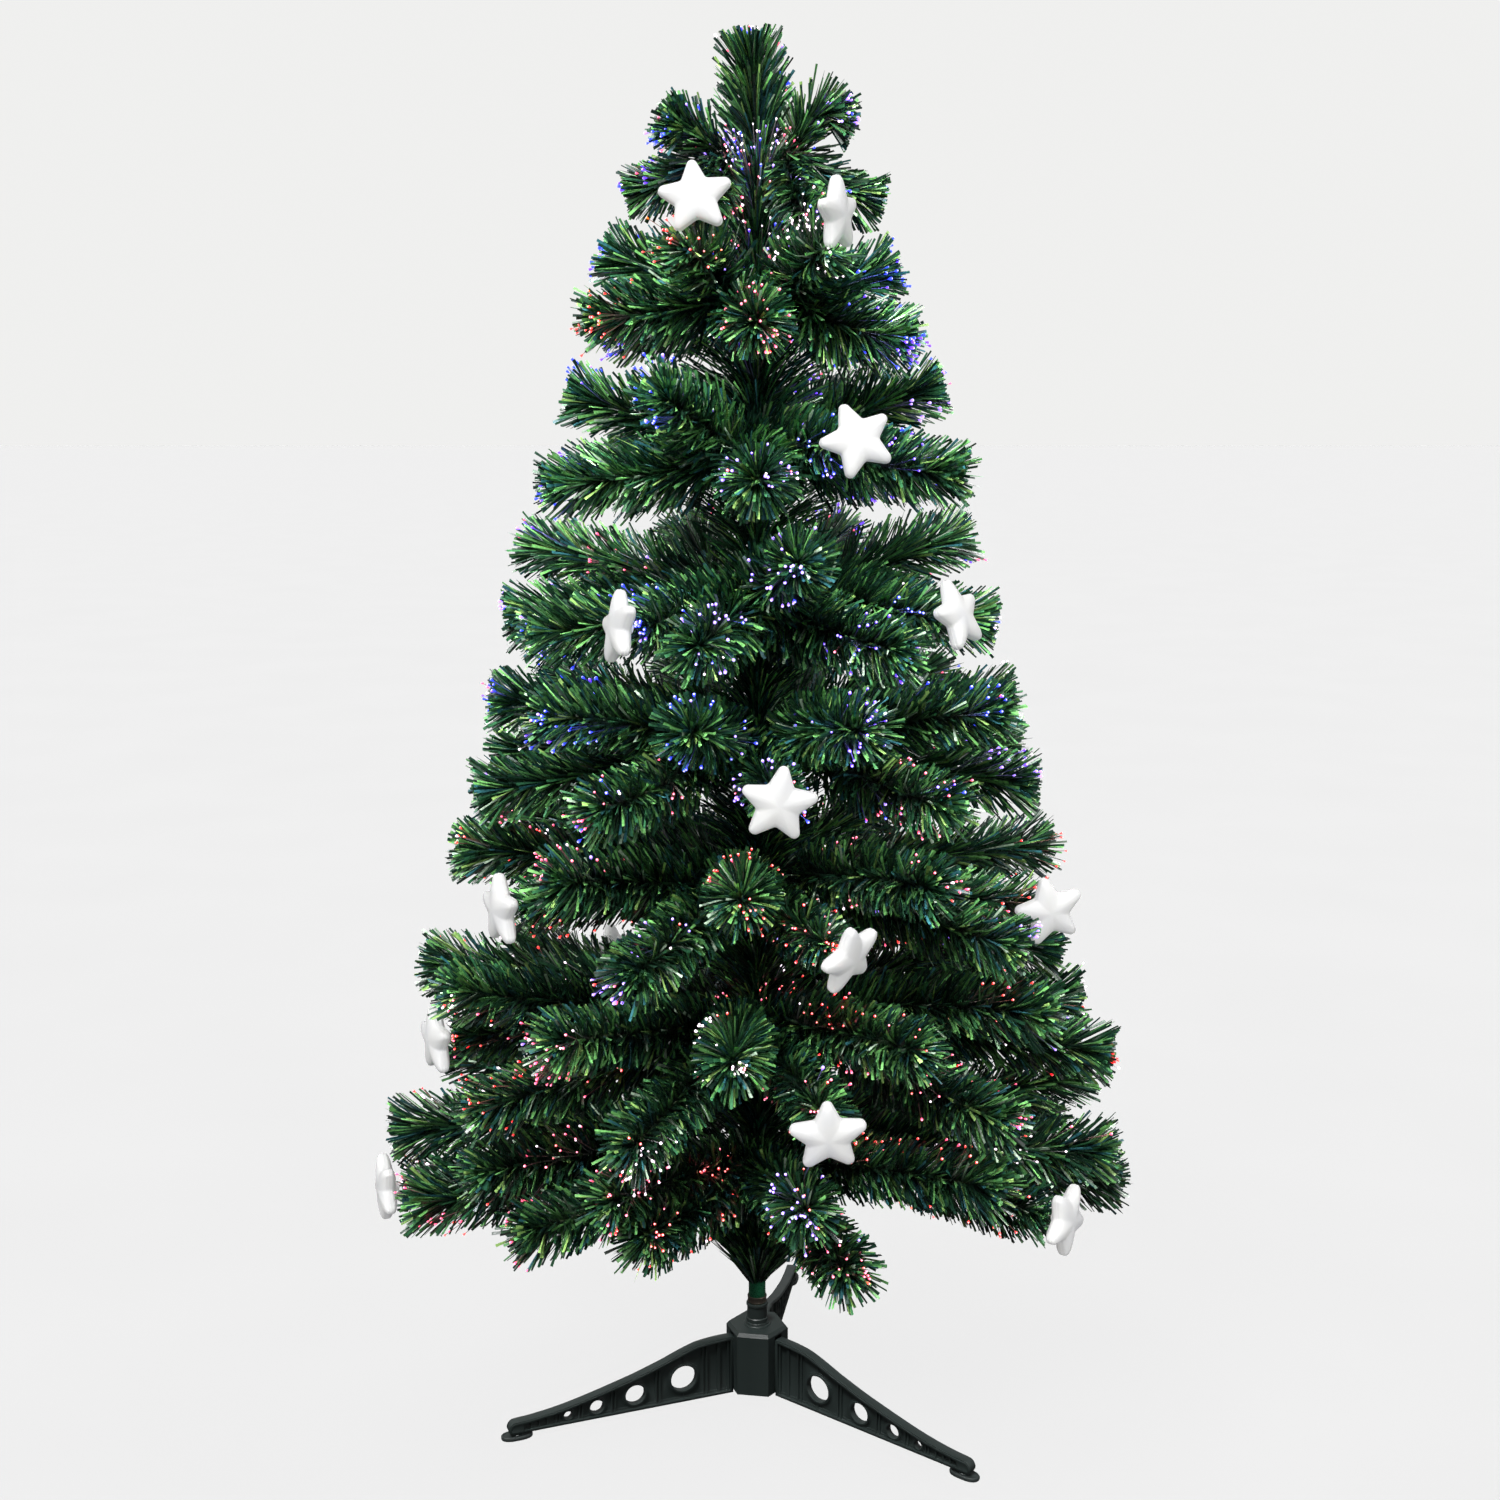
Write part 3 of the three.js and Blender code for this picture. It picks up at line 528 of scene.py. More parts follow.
def blades(bag, rng, root, direction, length, w0=2.4, w1=2.35):
    """Flat needles as thin closed wedges: a root edge and a tip edge at right angles to it."""
    if not len(root):
        return
    d = direction / np.linalg.norm(direction, axis=1)[:, None]
    keep = clear_of_stars(root, root + d * length[:, None])
    root, d, length = root[keep], d[keep], length[keep]
    n = len(root)
    if not n:
        return
    ref = rng.normal(size=(n, 3))
    b = np.cross(d, ref)
    b /= np.linalg.norm(b, axis=1)[:, None]
    c = np.cross(d, b)
    tip = root + d * length[:, None]
    wr = (w0 * rng.uniform(0.8, 1.15, n) / 2)[:, None]
    wt = (w1 * rng.uniform(0.7, 1.15, n) / 2)[:, None]
    v = np.stack([root - b * wr, root + b * wr, tip - c * wt, tip + c * wt], axis=1).reshape(-1, 3)
    f = (TETRA[None] + 4 * np.arange(n)[:, None, None]).reshape(-1, 3)
    # painted shade and light by height: each needle's colour is scaled darker low on the tree, lighter up to about 990
    # mm and darker again at the very top, standing in for how the light falls
    t = needle_tints(rng, n) * (0.46 + 0.14 * np.clip((root[:, 2:3] - 170) / 60, 0, 1) + 0.76 * np.clip((root[:, 2:3] - 260) / 650, 0, 1) - 0.55 * np.clip((root[:, 2:3] - 990) / 80, 0, 1))
    # painted shade at each needle's root and painted highlight at its tip: root vertices are darkened, tip vertices
    # brightened, and above about 930 mm the roots get darker and the tips lighter still
    deep = 1 - 0.6 * np.clip((root[:, 2:3] - 930) / 120, 0, 1)
    col = np.stack([t * 0.2 * deep, t * 0.2 * deep, t * (2.1 - 0.4 * deep), t * (2.1 - 0.4 * deep)], axis=1).reshape(-1, 3)
    bag.add(v, f, col)


def bezier(s, m, e, n):
    c = 2 * m - (s + e) / 2
    t = np.linspace(0, 1, n)[:, None]
    return (1 - t) ** 2 * s + 2 * t * (1 - t) * c + t**2 * e


def sample(points, t):
    """Point and unit tangent at fractions t of the length."""
    p = np.asarray(points)
    seg = np.linalg.norm(np.diff(p, axis=0), axis=1)
    cum = np.concatenate([[0], np.cumsum(seg)])
    u = t * cum[-1]
    i = np.clip(np.searchsorted(cum, u, side="right") - 1, 0, len(seg) - 1)
    k = ((u - cum[i]) / seg[i])[:, None]
    tan = np.gradient(p, axis=0)
    q = tan[i] * (1 - k) + tan[i + 1] * k
    return p[i] * (1 - k) + p[i + 1] * k, q / np.linalg.norm(q, axis=1)[:, None], cum[-1]


def around(rng, tangent, phi, theta):
    """Directions at angle phi from the tangent, turned theta round it."""
    ref = np.array([0.17, 0.31, 0.93])
    a = np.cross(tangent, ref)
    a /= np.linalg.norm(a, axis=1)[:, None]
    b = np.cross(tangent, a)
    s, c = np.sin(phi)[:, None], np.cos(phi)[:, None]
    return tangent * c + (a * np.cos(theta)[:, None] + b * np.sin(theta)[:, None]) * s


def brush(bag, rng, points, radius, reach, density=3.7, start=0.0, sweep=47.0, fan=True, body_sweep_sd=8.5, swell=0.0, taper=0.0, tip=20):
    """Needles along a line: swept forward on the sides, opening into a fan with cut ends at the tip."""
    _, _, length = sample(points, np.array([0.0]))
    n = int(length * (1 - start) * density)
    if n < 2:
        return
    t = start + (1 - start) * (np.arange(n) + rng.random(n)) / n
    p, d, _ = sample(points, t)
    left = (1 - t) * length
    theta = np.arange(n) * 2.399963 + rng.normal(0, 0.35, n)
    phi = rng.normal(sweep, body_sweep_sd, n)
    rad = radius * rng.uniform(0.84, 1.10, n) * (1 + swell * np.clip(1.15 - 1.6 * t, 0, 1)) * (1 - taper * np.clip(1 - left / 40, 0, 1))
    L = rad / np.sin(np.clip(phi, 34, 80) * RAD)
    if fan:
        k = np.clip(1 - left / 24, 0, 1)
        phi = phi * (1 - k) + rng.uniform(6, 46, n) * k
        cut = (left + reach) / np.cos(np.clip(phi, 0, 60) * RAD) * rng.uniform(0.93, 1.04, n)
        side_cut = radius * 1.04 / np.sin(np.clip(phi, 8, 80) * RAD)
        L = np.where(k > 0, np.minimum(np.minimum(cut, side_cut), 48), L)
    direction = around(rng, d, phi * RAD, theta)
    blades(bag, rng, p + direction * 0.8, direction, L)
    if fan:
        m = int(tip * density)
        p, d, _ = sample(points, np.full(m, 1.0) - rng.random(m) * 6 / length)
        phi = np.sqrt(rng.random(m)) * 44
        L = np.minimum(reach / np.cos(phi * RAD), radius * 1.02 / np.sin(np.clip(phi, 8, 80) * RAD)) * rng.uniform(0.92, 1.05, m)
        direction = around(rng, d, phi * RAD, rng.uniform(0, 2 * math.pi, m))
        blades(bag, rng, p, direction, L, w1=3.0)


# ---- fibres -----------------------------------------------------------------
PALETTE = {
    "red": np.array([1.0, 0.012, 0.02]),
    "coral": np.array([1.0, 0.045, 0.04]),
    "pink": np.array([1.0, 0.09, 0.20]),
    "white": np.array([0.9, 0.72, 0.85]),
    "lilac": np.array([0.30, 0.17, 1.0]),
    "violet": np.array([0.12, 0.04, 1.0]),
    "blue": np.array([0.03, 0.05, 1.0]),
    "amber": np.array([1.0, 0.13, 0.01]),
}


def light_names(rng, az, r, z, n):
    """Which colour the lamp sends to a tip: fibres that leave the bundle together share it."""
    if z < 300:
        w = dict(coral=5, red=2.4, pink=3.5, white=3, lilac=1.5)
    elif z < 540:
        w = dict(coral=4, red=1.6, pink=5, white=4, lilac=2)
    elif z < 760:
        w = dict(blue=4, violet=3, lilac=3, pink=2, white=2)
    elif z < 930:
        w = dict(blue=3, violet=3, lilac=2, pink=1.5, white=1) if abs(az) > 35 else dict(blue=2, violet=2, pink=2, lilac=2, white=1)
    elif z < 1030:
        w = dict(amber=3, coral=4, red=2, white=1) if -60 <= az < 0 else dict(red=5, pink=3, coral=2, white=2) if 0 <= az < 60 else dict(blue=5, violet=3, lilac=1)
    else:
        w = dict(lilac=3, blue=2, pink=3, white=3.2, violet=1)
    names = list(w)
    p = np.array([w[k] for k in names], float)
    p = p ** 1.6
    main = rng.choice(names, p=p / p.sum())
    return [main if rng.random() < 0.7 else rng.choice(names, p=p / p.sum()) for _ in range(n)]


def strand(bag, root, end, bow, c0, c1, r=0.36):
    mid = (root + end) / 2 + bow
    v, f = tube([root, mid, end], [r, r, r], 3)
    col = np.vstack([np.tile(c0, (3, 1)), np.tile(c0 * 0.8 + c1 * 0.2, (3, 1)), np.tile(c1, (3, 1))])
    bag.add(v, f, col)


def bead(bag, p, d, colour, r):
    """Cut and fused fibre end: the light colours its side, and the face is mixed towards white as a painted glare
    highlight.
    """
    d = d / np.linalg.norm(d)
    a = np.cross(d, [0.3, 0.2, 0.93])
    a /= np.linalg.norm(a)
    b = np.cross(d, a)
    w = np.arange(6) * 2 * math.pi / 6
    ring = lambda h, q: p + d * h + (np.outer(np.cos(w), a) + np.outer(np.sin(w), b)) * q
    v = np.vstack([[p - d * r * 2.6], ring(-r * 1.2, r * 0.62), ring(-r * 0.2, r), ring(r * 0.5, r * 0.86), [p + d * r * 0.95]])
    f = []
    for k in range(6):
        l = (k + 1) % 6
        f.append((0, 1 + l, 1 + k))
        for i in (1, 7):
            f += [(i + k, i + l, i + 6 + l), (i + k, i + 6 + l, i + 6 + k)]
        f.append((13 + k, 13 + l, 19))
    # painted highlight: the face colour is mixed towards white to stand in for the glare of the bright end
    pale = colour * 0.35 + np.array([1, 0.94, 0.96]) * 0.65
    rim = colour * 0.92 + 0.03
    col = np.vstack([[colour * 0.6], np.tile(colour * 0.8, (6, 1)), np.tile(colour, (6, 1)), np.tile(rim, (6, 1)), [pale]])
    bag.add(v, np.array(f), col)


def fibres(strands, ends, rng, points, radius, reach, names, lo=0.25, longest=62.0, size=1.0, least=16, most=48):
    """Fibres leave the twig in small bundles and open out, so their ends lie in loose clusters."""
    n = len(names)
    groups = max(2, n // 6)
    g = rng.integers(0, groups, n)
    gt = lo + (1 - lo) * rng.random(groups) ** 0.7
    gphi = rng.uniform(least, most, groups)
    gtheta = rng.uniform(0, 2 * math.pi, groups)
    t = np.clip(gt[g] + rng.normal(0, 0.05, n), 0.02, 1)
    p, d, length = sample(points, t)
    left = (1 - t) * length
    phi = np.clip(gphi[g] + rng.normal(0, 9, n), 4, most + 14)
    near = left < 26
    phi[near] *= 0.8
    direction = around(rng, d, phi * RAD, gtheta[g] + rng.normal(0, 0.42, n))
    L = np.minimum((left + reach + 2) / np.cos(phi * RAD), (radius + 2.5) / np.sin(np.clip(phi, 5, 80) * RAD))
    L = np.minimum(L, longest) * rng.uniform(0.86, 1.06, n)
    seen = clear_of_stars(p, p + direction * (L + 2)[:, None])
    for i, name in enumerate(names):
        if not seen[i]:
            continue
        e = p[i] + direction[i] * L[i]
        colour = PALETTE[name]
        glassy = np.array([0.30, 0.36, 0.32])
        bow = np.cross(direction[i], d[i]) * rng.normal(0, 2.5)
        lit = {"blue": 0.9, "violet": 0.8, "lilac": 0.4}.get(name, 0.25)
        strand(strands, p[i] + direction[i], e - direction[i] * 1.5, bow, glassy * 0.3, glassy * 0.3 + colour * lit, 0.27)
        big = 1.22 if name in ("blue", "violet", "lilac") else 1.0
        bead(ends, e, direction[i], colour, rng.uniform(0.75, 1.15) * big * size)


# ---- branches ---------------------------------------------------------------
WIRE_COL = np.array([0.035, 0.04, 0.022])


def wire(bag, points, r0, r1, sides=6):
    v, f = tube(points, np.linspace(r0, r1, len(points)), sides)
    bag.add(v, f, WIRE_COL)


def eye_ring(bag, az, zr):
    """Stamped loop that turns on the pin."""
    c = at(az, PIVOT_R, zr)
    e, s, up = out(az), side(az), np.array([0, 0, 1.0])
    n = 20
    v = []
    for rr, y in ((1.75, -2.9), (3.3, -2.9), (3.5, -2.6), (3.5, 2.6), (3.3, 2.9), (1.75, 2.9)):
        for k in range(n):
            w = 2 * math.pi * k / n
            v.append(c + e * rr * math.cos(w) + up * rr * math.sin(w) + s * y)
    f = []
    for i in range(6):
        for k in range(n):
            l = (k + 1) % n
            a, b = i * n, ((i + 1) % 6) * n
            f += [(a + k, b + l, a + l), (a + k, b + k, b + l)]
    bag.add(np.array(v), np.array(f), np.array([0.18, 0.17, 0.15]))


CORE_SHORT, CORE_SHORT_LOW = 21, 9
FORK_IN, FORK_OUT = 0.14, 0.3

REACH = {(26, -68): 25, (27, 72): 25, (8, -64): 12, (8, -109): 5, (4, -80): 31, (4, -65): 34, (26, -90): 14, (27, 92): 17, (8, -94): 25}  # needle length beyond the core, where it isn't 23

LIFT = {(4, -80): -14, (4, -65): 7, (26, -68): -10, (27, 72): -9, (1, -17): 11}
TURN = {(1, -38): -4, (1, -17): -3}

for i, (deck, az, tips) in enumerate(BRANCHES):
    rng = np.random.default_rng(1000 + i)
    no = f"{i + 1:02d}"
    body = f"b_{no}"
    zr = ROOT_Z[deck]
    far = max(t[1] for t in tips)
    fork = max(FORK_OUT * far, 40)
    rise = 0.22 * (sum(t[2] for t in tips) / len(tips) - zr)
    widest = max(max(abs(wrap(t[0] - az)) for t in tips), 1)
    brush_r = 29.0 - 1.5 * (zr - 240) / 858
    swell = (0.05, 0.05, 0.10, 0.14, 0.34, 0.42, 0.34, 0.10)[deck]
    needles, wires, strands, ends = Bag(), Bag(), Bag(), Bag()
    eye_ring(wires, az, zr)
    stem = np.array([at(az, PIVOT_R + 3.0, zr), at(az, 26, zr + rise * 0.3), at(az, fork * 0.65, zr + rise * 0.65), at(az, fork, zr + rise)])
    wire(wires, stem, 2.0, 1.9, 8)
    brush(needles, rng, stem, brush_r * (0.95 + swell * 0.7), 0, density=3.4, start=0.1, fan=False, sweep=54)
    for tip in tips:
        a, r, z = tip[:3]
        star = tip[3] if len(tip) > 3 else None
        k = FORK_OUT - (FORK_OUT - FORK_IN) * abs(wrap(a - az) / widest)
        rs = max(27, min(k * far, fork - 4))
        s = at(az, rs, zr + rise * rs / fork)
        reach = REACH.get((i + 1, a), 23.0)
        if star:
            fa, _, tilt = STARS[star]
            face = out(fa) * math.cos(tilt * RAD) + np.array([0, 0, math.sin(tilt * RAD)])
            end = at(a, r, z) - face * 18
        else:
            end = at(a + TURN.get((i + 1, a), 0), r - 23.0, z + LIFT.get((i + 1, a), 0))
            if reach < 13:
                end = at(a, r - 35.0, z + 14)
                reach = 23.0
        ra = math.hypot(end[0], end[1])
        ea = math.atan2(end[0], -end[1]) / RAD
        m = at(az + wrap(ea - az) * 0.9, rs + (ra - rs) * 0.5, zr + ((end[2] - zr) * 0.8 if deck == 7 else (z - zr) * 0.62))
        m = m + rng.normal(0, 1.6, 3)
        line = bezier(s, m, end, 12)
        wire(wires, line, 1.35, 0.95, 5)
        size = brush_r * rng.uniform(0.94, 1.05) * (0.82 if deck == 7 else 1)
        if star:
            wire(wires, [end - face * 4, end, at(a, r, z) - face * 5.5], 0.9, 0.9, 6)
            brush(needles, rng, line, size * 0.92, 3, start=0.05, swell=swell, taper=0.35)
        else:
            brush(needles, rng, line, size, reach, density=5.0 if deck == 7 else 3.7, start=0.05, swell=swell, tip=34 if deck == 7 else 20)
        count = int(rng.integers(24, 38) * (1.3 if abs(wrap(a)) < 50 else 0.9) * (0.72 if 540 < z < 930 else 0.85 if z < 540 else 1))
        fibres(strands, ends, rng, line, size, 2 if star else reach, light_names(rng, wrap(a), r, z, count), 0.16, 36.0 if deck == 7 else 62.0)
    finish_piece(needles.make("n"), f"needles_{no}", body, [f"branch_{no}"], "needles", NEEDLE)
    finish_piece(wires.make("w", smooth=True), f"branch_wire_{no}", body, [f"branch_{no}"], "needles", WIRE)
    finish_piece(strands.make("s"), f"fibre_strands_{no}", body, [], "fibres", FIBRE)
    finish_piece(ends.make("e"), f"fibre_ends_{no}", body, [], "fibres", GLOW)

# ---- leader and the wrap of needles round the pole ---------------------------
rng = np.random.default_rng(77)
bag, wires, strands, ends = Bag(), Bag(), Bag(), Bag()
top = np.array([[0, 0, 1092.0], [-1, -0.8, 1118], [-3, -1.5, 1145], [-5, -2, 1169.0]])
brush(bag, rng, top, 28, 22, density=4.6, sweep=45, swell=0.2, tip=28)
wire(wires, top, 2.2, 1.2, 8)
fibres(strands, ends, rng, top, 26, 20, light_names(rng, 0, 0, 1150, 9) + light_names(rng, 0, 0, 1150, 9), lo=0.0)
finish_piece(bag.make("n"), "leader_needles", "trunk", ["tree_top"], "needles", NEEDLE)
finish_piece(wires.make("w", smooth=True), "leader_wire", "trunk", ["tree_top"], "needles", WIRE)
finish_piece(strands.make("s"), "leader_strands", "trunk", [], "fibres", FIBRE)
finish_piece(ends.make("e"), "leader_fibre_ends", "trunk", [], "fibres", GLOW)
bag = Bag()
n = 6000
z = 109 + (1088 - 109) * (np.arange(n) + rng.random(n)) / n
theta = np.arange(n) * 2.399963 + rng.normal(0, 0.3, n)
radial = np.stack([np.cos(theta), np.sin(theta), np.zeros(n)], axis=1)
rise_deg = rng.normal(42, 9, n) + 22 * np.clip((172 - z) / 60, 0, 1) - 10 * sum(np.exp(-(((z - zc) / 30) ** 2)) for zc in (538, 792, 897))
pole_r = np.where(z < 650, 7.4, 6.3)
d = radial * np.cos(rise_deg * RAD)[:, None] + np.array([0, 0, 1.0]) * np.sin(rise_deg * RAD)[:, None]
L = rng.uniform(34, 44, n) + 8 * np.clip((182 - z) / 70, 0, 1)
gap = sum(np.exp(-(((z - zc) / 30) ** 2)) for zc in (538, 792, 897))
L += 24 * gap
blades(bag, rng, radial * pole_r[:, None] + np.array([0, 0, 1.0]) * z[:, None], d, L, w0=2.2, w1=1.7)
# the lowest wraps stand close together and open upwards like a cone
n = 3600
z = 108 + 62 * rng.random(n) ** 0.8
theta = rng.uniform(0, 2 * math.pi, n)
radial = np.stack([np.cos(theta), np.sin(theta), np.zeros(n)], axis=1)
rise_deg = rng.uniform(43, 80, n)
d = radial * np.cos(rise_deg * RAD)[:, None] + np.array([0, 0, 1.0]) * np.sin(rise_deg * RAD)[:, None]
blades(bag, rng, radial * 7.4 + np.array([0, 0, 1.0]) * z[:, None], d, rng.uniform(36, 56, n), w0=2.3, w1=1.9)
finish_piece(bag.make("n"), "pole_needles", "trunk", [], "needles", NEEDLE)
strands, ends = Bag(), Bag()
for z0, z1, n in ((955, 1075, 260), (880, 965, 50), (770, 845, 40), (300, 360, 36)):
    names = []
    for k in range(n // 6):
        names += light_names(rng, 0, 0, 1100 if z0 > 900 else z0, 6)
    fibres(strands, ends, rng, np.array([[0, 0, z0], [0, 0, (z0 + z1) / 2], [0, 0, z1]], float), 50, 60, names, lo=0.0, longest=60.0, size=0.8, least=34, most=70)
finish_piece(strands.make("s"), "pole_strands", "trunk", [], "fibres", FIBRE)
finish_piece(ends.make("e"), "pole_fibre_ends", "trunk", [], "fibres", GLOW)

# ---- pole --------------------------------------------------------------------
def pole(ri, r, z0, z1):
    return lathe([(ri, z0), (r - 0.25, z0), (r, z0 + 0.25), (r, z1 - 0.25), (r - 0.25, z1), (ri, z1), (ri, z0)], 56)


def cheeks(rings, x0):
    made = []
    for deck, az, _ in BRANCHES:
        if deck not in rings:
            continue
        for s in (-1, 1):
            y = s * 4.2
            pts = [(x0, -3.2), (15.4, -3.2), (16.5, -2.6), (17, -1.4), (17, 1.4), (16.5, 2.6), (15.4, 3.2), (x0, 3.2)]
            o = prism(pts, -0.7, 0.7)
            place(o, Matrix.Rotation(90 * RAD, 4, "X"))
            place(o, Matrix.Translation((0, y * MM, 0)))
            place(o, Matrix.Translation((0, 0, ROOT_Z[deck] * MM)) @ Matrix.Rotation((az - 90) * RAD, 4, "Z"))
            made.append(o)
        pin = lathe([(0, -5.6), (2.2, -5.6), (2.2, -5.0), (1.45, -5.0), (1.45, 5.0), (2.2, 5.0), (2.2, 5.6), (0, 5.6)], 14)
        place(pin, Matrix.Rotation(90 * RAD, 4, "X"))
        place(pin, Matrix.Translation((PIVOT_R * MM, 0, 0)))
        place(pin, Matrix.Translation((0, 0, ROOT_Z[deck] * MM)) @ Matrix.Rotation((az - 90) * RAD, 4, "Z"))
        made.append(pin)
    return made


def join(name, parts):
    first = parts[0]
    with bpy.context.temp_override(active_object=first, object=first, selected_objects=parts, selected_editable_objects=parts):
        bpy.ops.object.join()
    first.name = name
    return first


for name, shape, rings, x0 in (
    ("pole_lower", (6.9, 7.7, 44.4, 668), (0, 1, 2, 3), 6.8),
    ("pole_upper", (5.8, 6.6, 641, 1105), (4, 5, 6, 7), 5.8),
):
    o = join(name, [pole(*shape)] + cheeks(rings, x0))
    tidy(o)
    finish_piece(o, name, "trunk", ["trunk_lower" if name == "pole_lower" else "trunk_upper"], "trunk_paint", PAINT)

o = lathe([(8.0, 88.4), (8.55, 88.4), (8.75, 88.7), (8.75, 89.7), (8.5, 90.0), (8.5, 93.1), (8.75, 93.4), (8.75, 94.5), (8.55, 94.8), (8.0, 94.8), (8.0, 88.4)], 56)
tidy(o)
finish_piece(o, "pole_ring", "trunk", ["trunk_ring"], "ring_metal", RING)
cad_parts["fibre_bundle"].data.materials.clear()
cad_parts["fibre_bundle"].data.materials.append(CLEAR)
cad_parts["fibre_ferrule"].data.materials.clear()
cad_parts["fibre_ferrule"].data.materials.append(BRASS)

# ---- stars --------------------------------------------------------------------
def star_outline(r=29.6, inner=16.8, tip=4.2, n=9, soft=2.2):
    pts = []
    for i in range(5):
        a = (90 + 72 * i) * RAD
        c = np.array([math.cos(a), math.sin(a)]) * (r - tip)
        for w in np.linspace(-64, 64, n):
            b = a + w * RAD
            pts.append(c + tip * np.array([math.cos(b), math.sin(b)]))
        b = a + 36 * RAD
        q = np.array([math.cos(b), math.sin(b)]) * inner
        before = pts[-1]
        a2 = (90 + 72 * (i + 1)) * RAD
        c2 = np.array([math.cos(a2), math.sin(a2)]) * (r - tip)
        after = c2 + tip * np.array([math.cos(a2 - 64 * RAD), math.sin(a2 - 64 * RAD)])
        d1 = (before - q) / np.linalg.norm(before - q)
        d2 = (after - q) / np.linalg.norm(after - q)
        p1, p2 = q + d1 * soft, q + d2 * soft
        for u in (0, 0.33, 0.67, 1):
            pts.append((1 - u) ** 2 * p1 + 2 * u * (1 - u) * q + u**2 * p2)
    return np.array(pts)


def star_mesh():
    """Puffed star: an elliptical dome on both sides, a moulding seam round the rim and a rear socket."""
    base = star_outline()
    n = len(base)
    dome = lambda k: 2.0 + 6.0 * math.sqrt(max(1 - k * k, 0))
    ks = [0.2, 0.38, 0.54, 0.68, 0.8, 0.89, 0.955, 0.99]
    rows = [(k, -dome(k)) for k in ks] + [(1.0, -2.0), (1.0, -0.4), (1.012, -0.25), (1.012, 0.25), (1.0, 0.4), (1.0, 2.0)] + [(k, dome(k)) for k in ks[::-1]]
    v, f = [], []
    for k, z in rows:
        v += [(x * k, y * k, z) for x, y in base]
    for i in range(len(rows) - 1):
        for k in range(n):
            l = (k + 1) % n
            a, b, c, d = i * n + k, i * n + l, (i + 1) * n + l, (i + 1) * n + k
            f += [(a, b, c), (a, c, d)]
    lo, hi = len(v), len(v) + 1
    v += [(0, 0, -8.0), (0, 0, 8.0)]
    m = (len(rows) - 1) * n
    for k in range(n):
        l = (k + 1) % n
        f += [(lo, l, k), (hi, m + k, m + l)]
    # rear socket that the tip's wire goes into
    prof = [(2.1, -6.6), (2.1, -11.0), (3.7, -11.0), (4.0, -10.7), (4.0, -8.8), (4.6, -7.6), (4.6, -6.6)]
    s, base_i = 24, len(v)
    for r, z in prof:
        v += [(r * math.cos(2 * math.pi * k / s), r * math.sin(2 * math.pi * k / s), z) for k in range(s)]
    for i in range(len(prof)):
        j = (i + 1) % len(prof)
        for k in range(s):
            l = (k + 1) % s
            a, b, c, d = base_i + i * s + k, base_i + i * s + l, base_i + j * s + l, base_i + j * s + k
            f += [(a, b, c), (a, c, d)]
    return np.array(v, float), np.array(f)


sv, sf = star_mesh()
for deck_i, (deck, az, tips) in enumerate(BRANCHES):
    for tip in tips:
        if len(tip) < 4:
            continue
        a, r, z, name = tip
        fa, roll, tilt = STARS[name]
        nrm = Vector(out(fa) * math.cos(tilt * RAD) + np.array([0, 0, math.sin(tilt * RAD)]))
        right = Vector((0, 0, 1)).cross(nrm).normalized()
        up = nrm.cross(right)
        rot = Matrix((right, up, nrm)).transposed().to_4x4() @ Matrix.Rotation(roll * RAD, 4, "Z")
        o = make_mesh("s", sv, sf, smooth=True)
        o.data.set_sharp_from_angle(angle=42 * RAD)
        place(o, Matrix.Translation(Vector(at(a, r, z)) * MM) @ rot)
        finish_piece(o, f"{name}_ornament", f"b_{deck_i + 1:02d}", [name], "star", STAR)

# ---- stand hub -----------------------------------------------------------------
APO = 28.5 * math.cos(math.pi / 6)
hexa = (HUB_FACE_DEG + 30) * RAD


def box_at(x0, x1, y0, y1, z0, z1, deg):
    o = prism([(x0, y0), (x1, y0), (x1, y1), (x0, y1)], z0, z1)
    return place(o, Matrix.Rotation(deg * RAD, 4, "Z"))


hub = lathe([(0, 8), (28.5, 8), (28.5, 64), (25.9, 67), (0, 67)], 6, hexa)
inner = 28.5 - 2.8 / math.cos(math.pi / 6)
boolean(hub, [lathe([(0, 6), (inner, 6), (inner, 64), (0, 64)], 6, hexa)], "DIFFERENCE")
socket = lathe(
    [(0, 29.5), (13.2, 29.5), (13.2, 65.5), (12.3, 65.5), (12.3, 67.5), (11.9, 68.0), (10.9, 68.1), (10.7, 68.5), (10.7, 69.7), (10.4, 70.1), (10.0, 70.2), (9.95, 73.4), (9.6, 73.9), (9.1, 74.2),
     (9.05, 84.9), (9.5, 85.2), (9.8, 85.6), (9.85, 87.1), (9.6, 87.8), (9.1, 88.0), (0, 88.0)], 56)
guides = [box_at(11.5, APO - 1.5, v0, v0 + 1.6, 9.8, 65.5, deg) for deg in LEG_DEG for v0 in (5.1, -6.7)]
boolean(hub, [socket] + guides, "UNION")
bore = lathe([(0, 27), (11.4, 27), (11.4, 42), (6.7, 42), (6.7, 44), (8.05, 44), (8.05, 87.3), (8.4, 88.1), (8.4, 91), (0, 91)], 48)
slots = [box_at(13.3, APO + 6, -5.1, 5.1, 9.8, 62.5, deg) for deg in LEG_DEG]
jack = lathe([(0, -6), (4.9, -6), (4.9, 6), (0, 6)], 32)
place(jack, Matrix.Rotation(90 * RAD, 4, "Y"))
place(jack, Matrix.Translation((APO * MM, 0, 0.020)))
place(jack, Matrix.Rotation(INLET_DEG * RAD, 4, "Z"))
boolean(hub, [bore, jack] + slots, "DIFFERENCE")
tidy(hub, 0.45, 2)
finish_piece(hub, "hub_shell", "stand", ["stand_hub"], "stand_plastic", STAND)

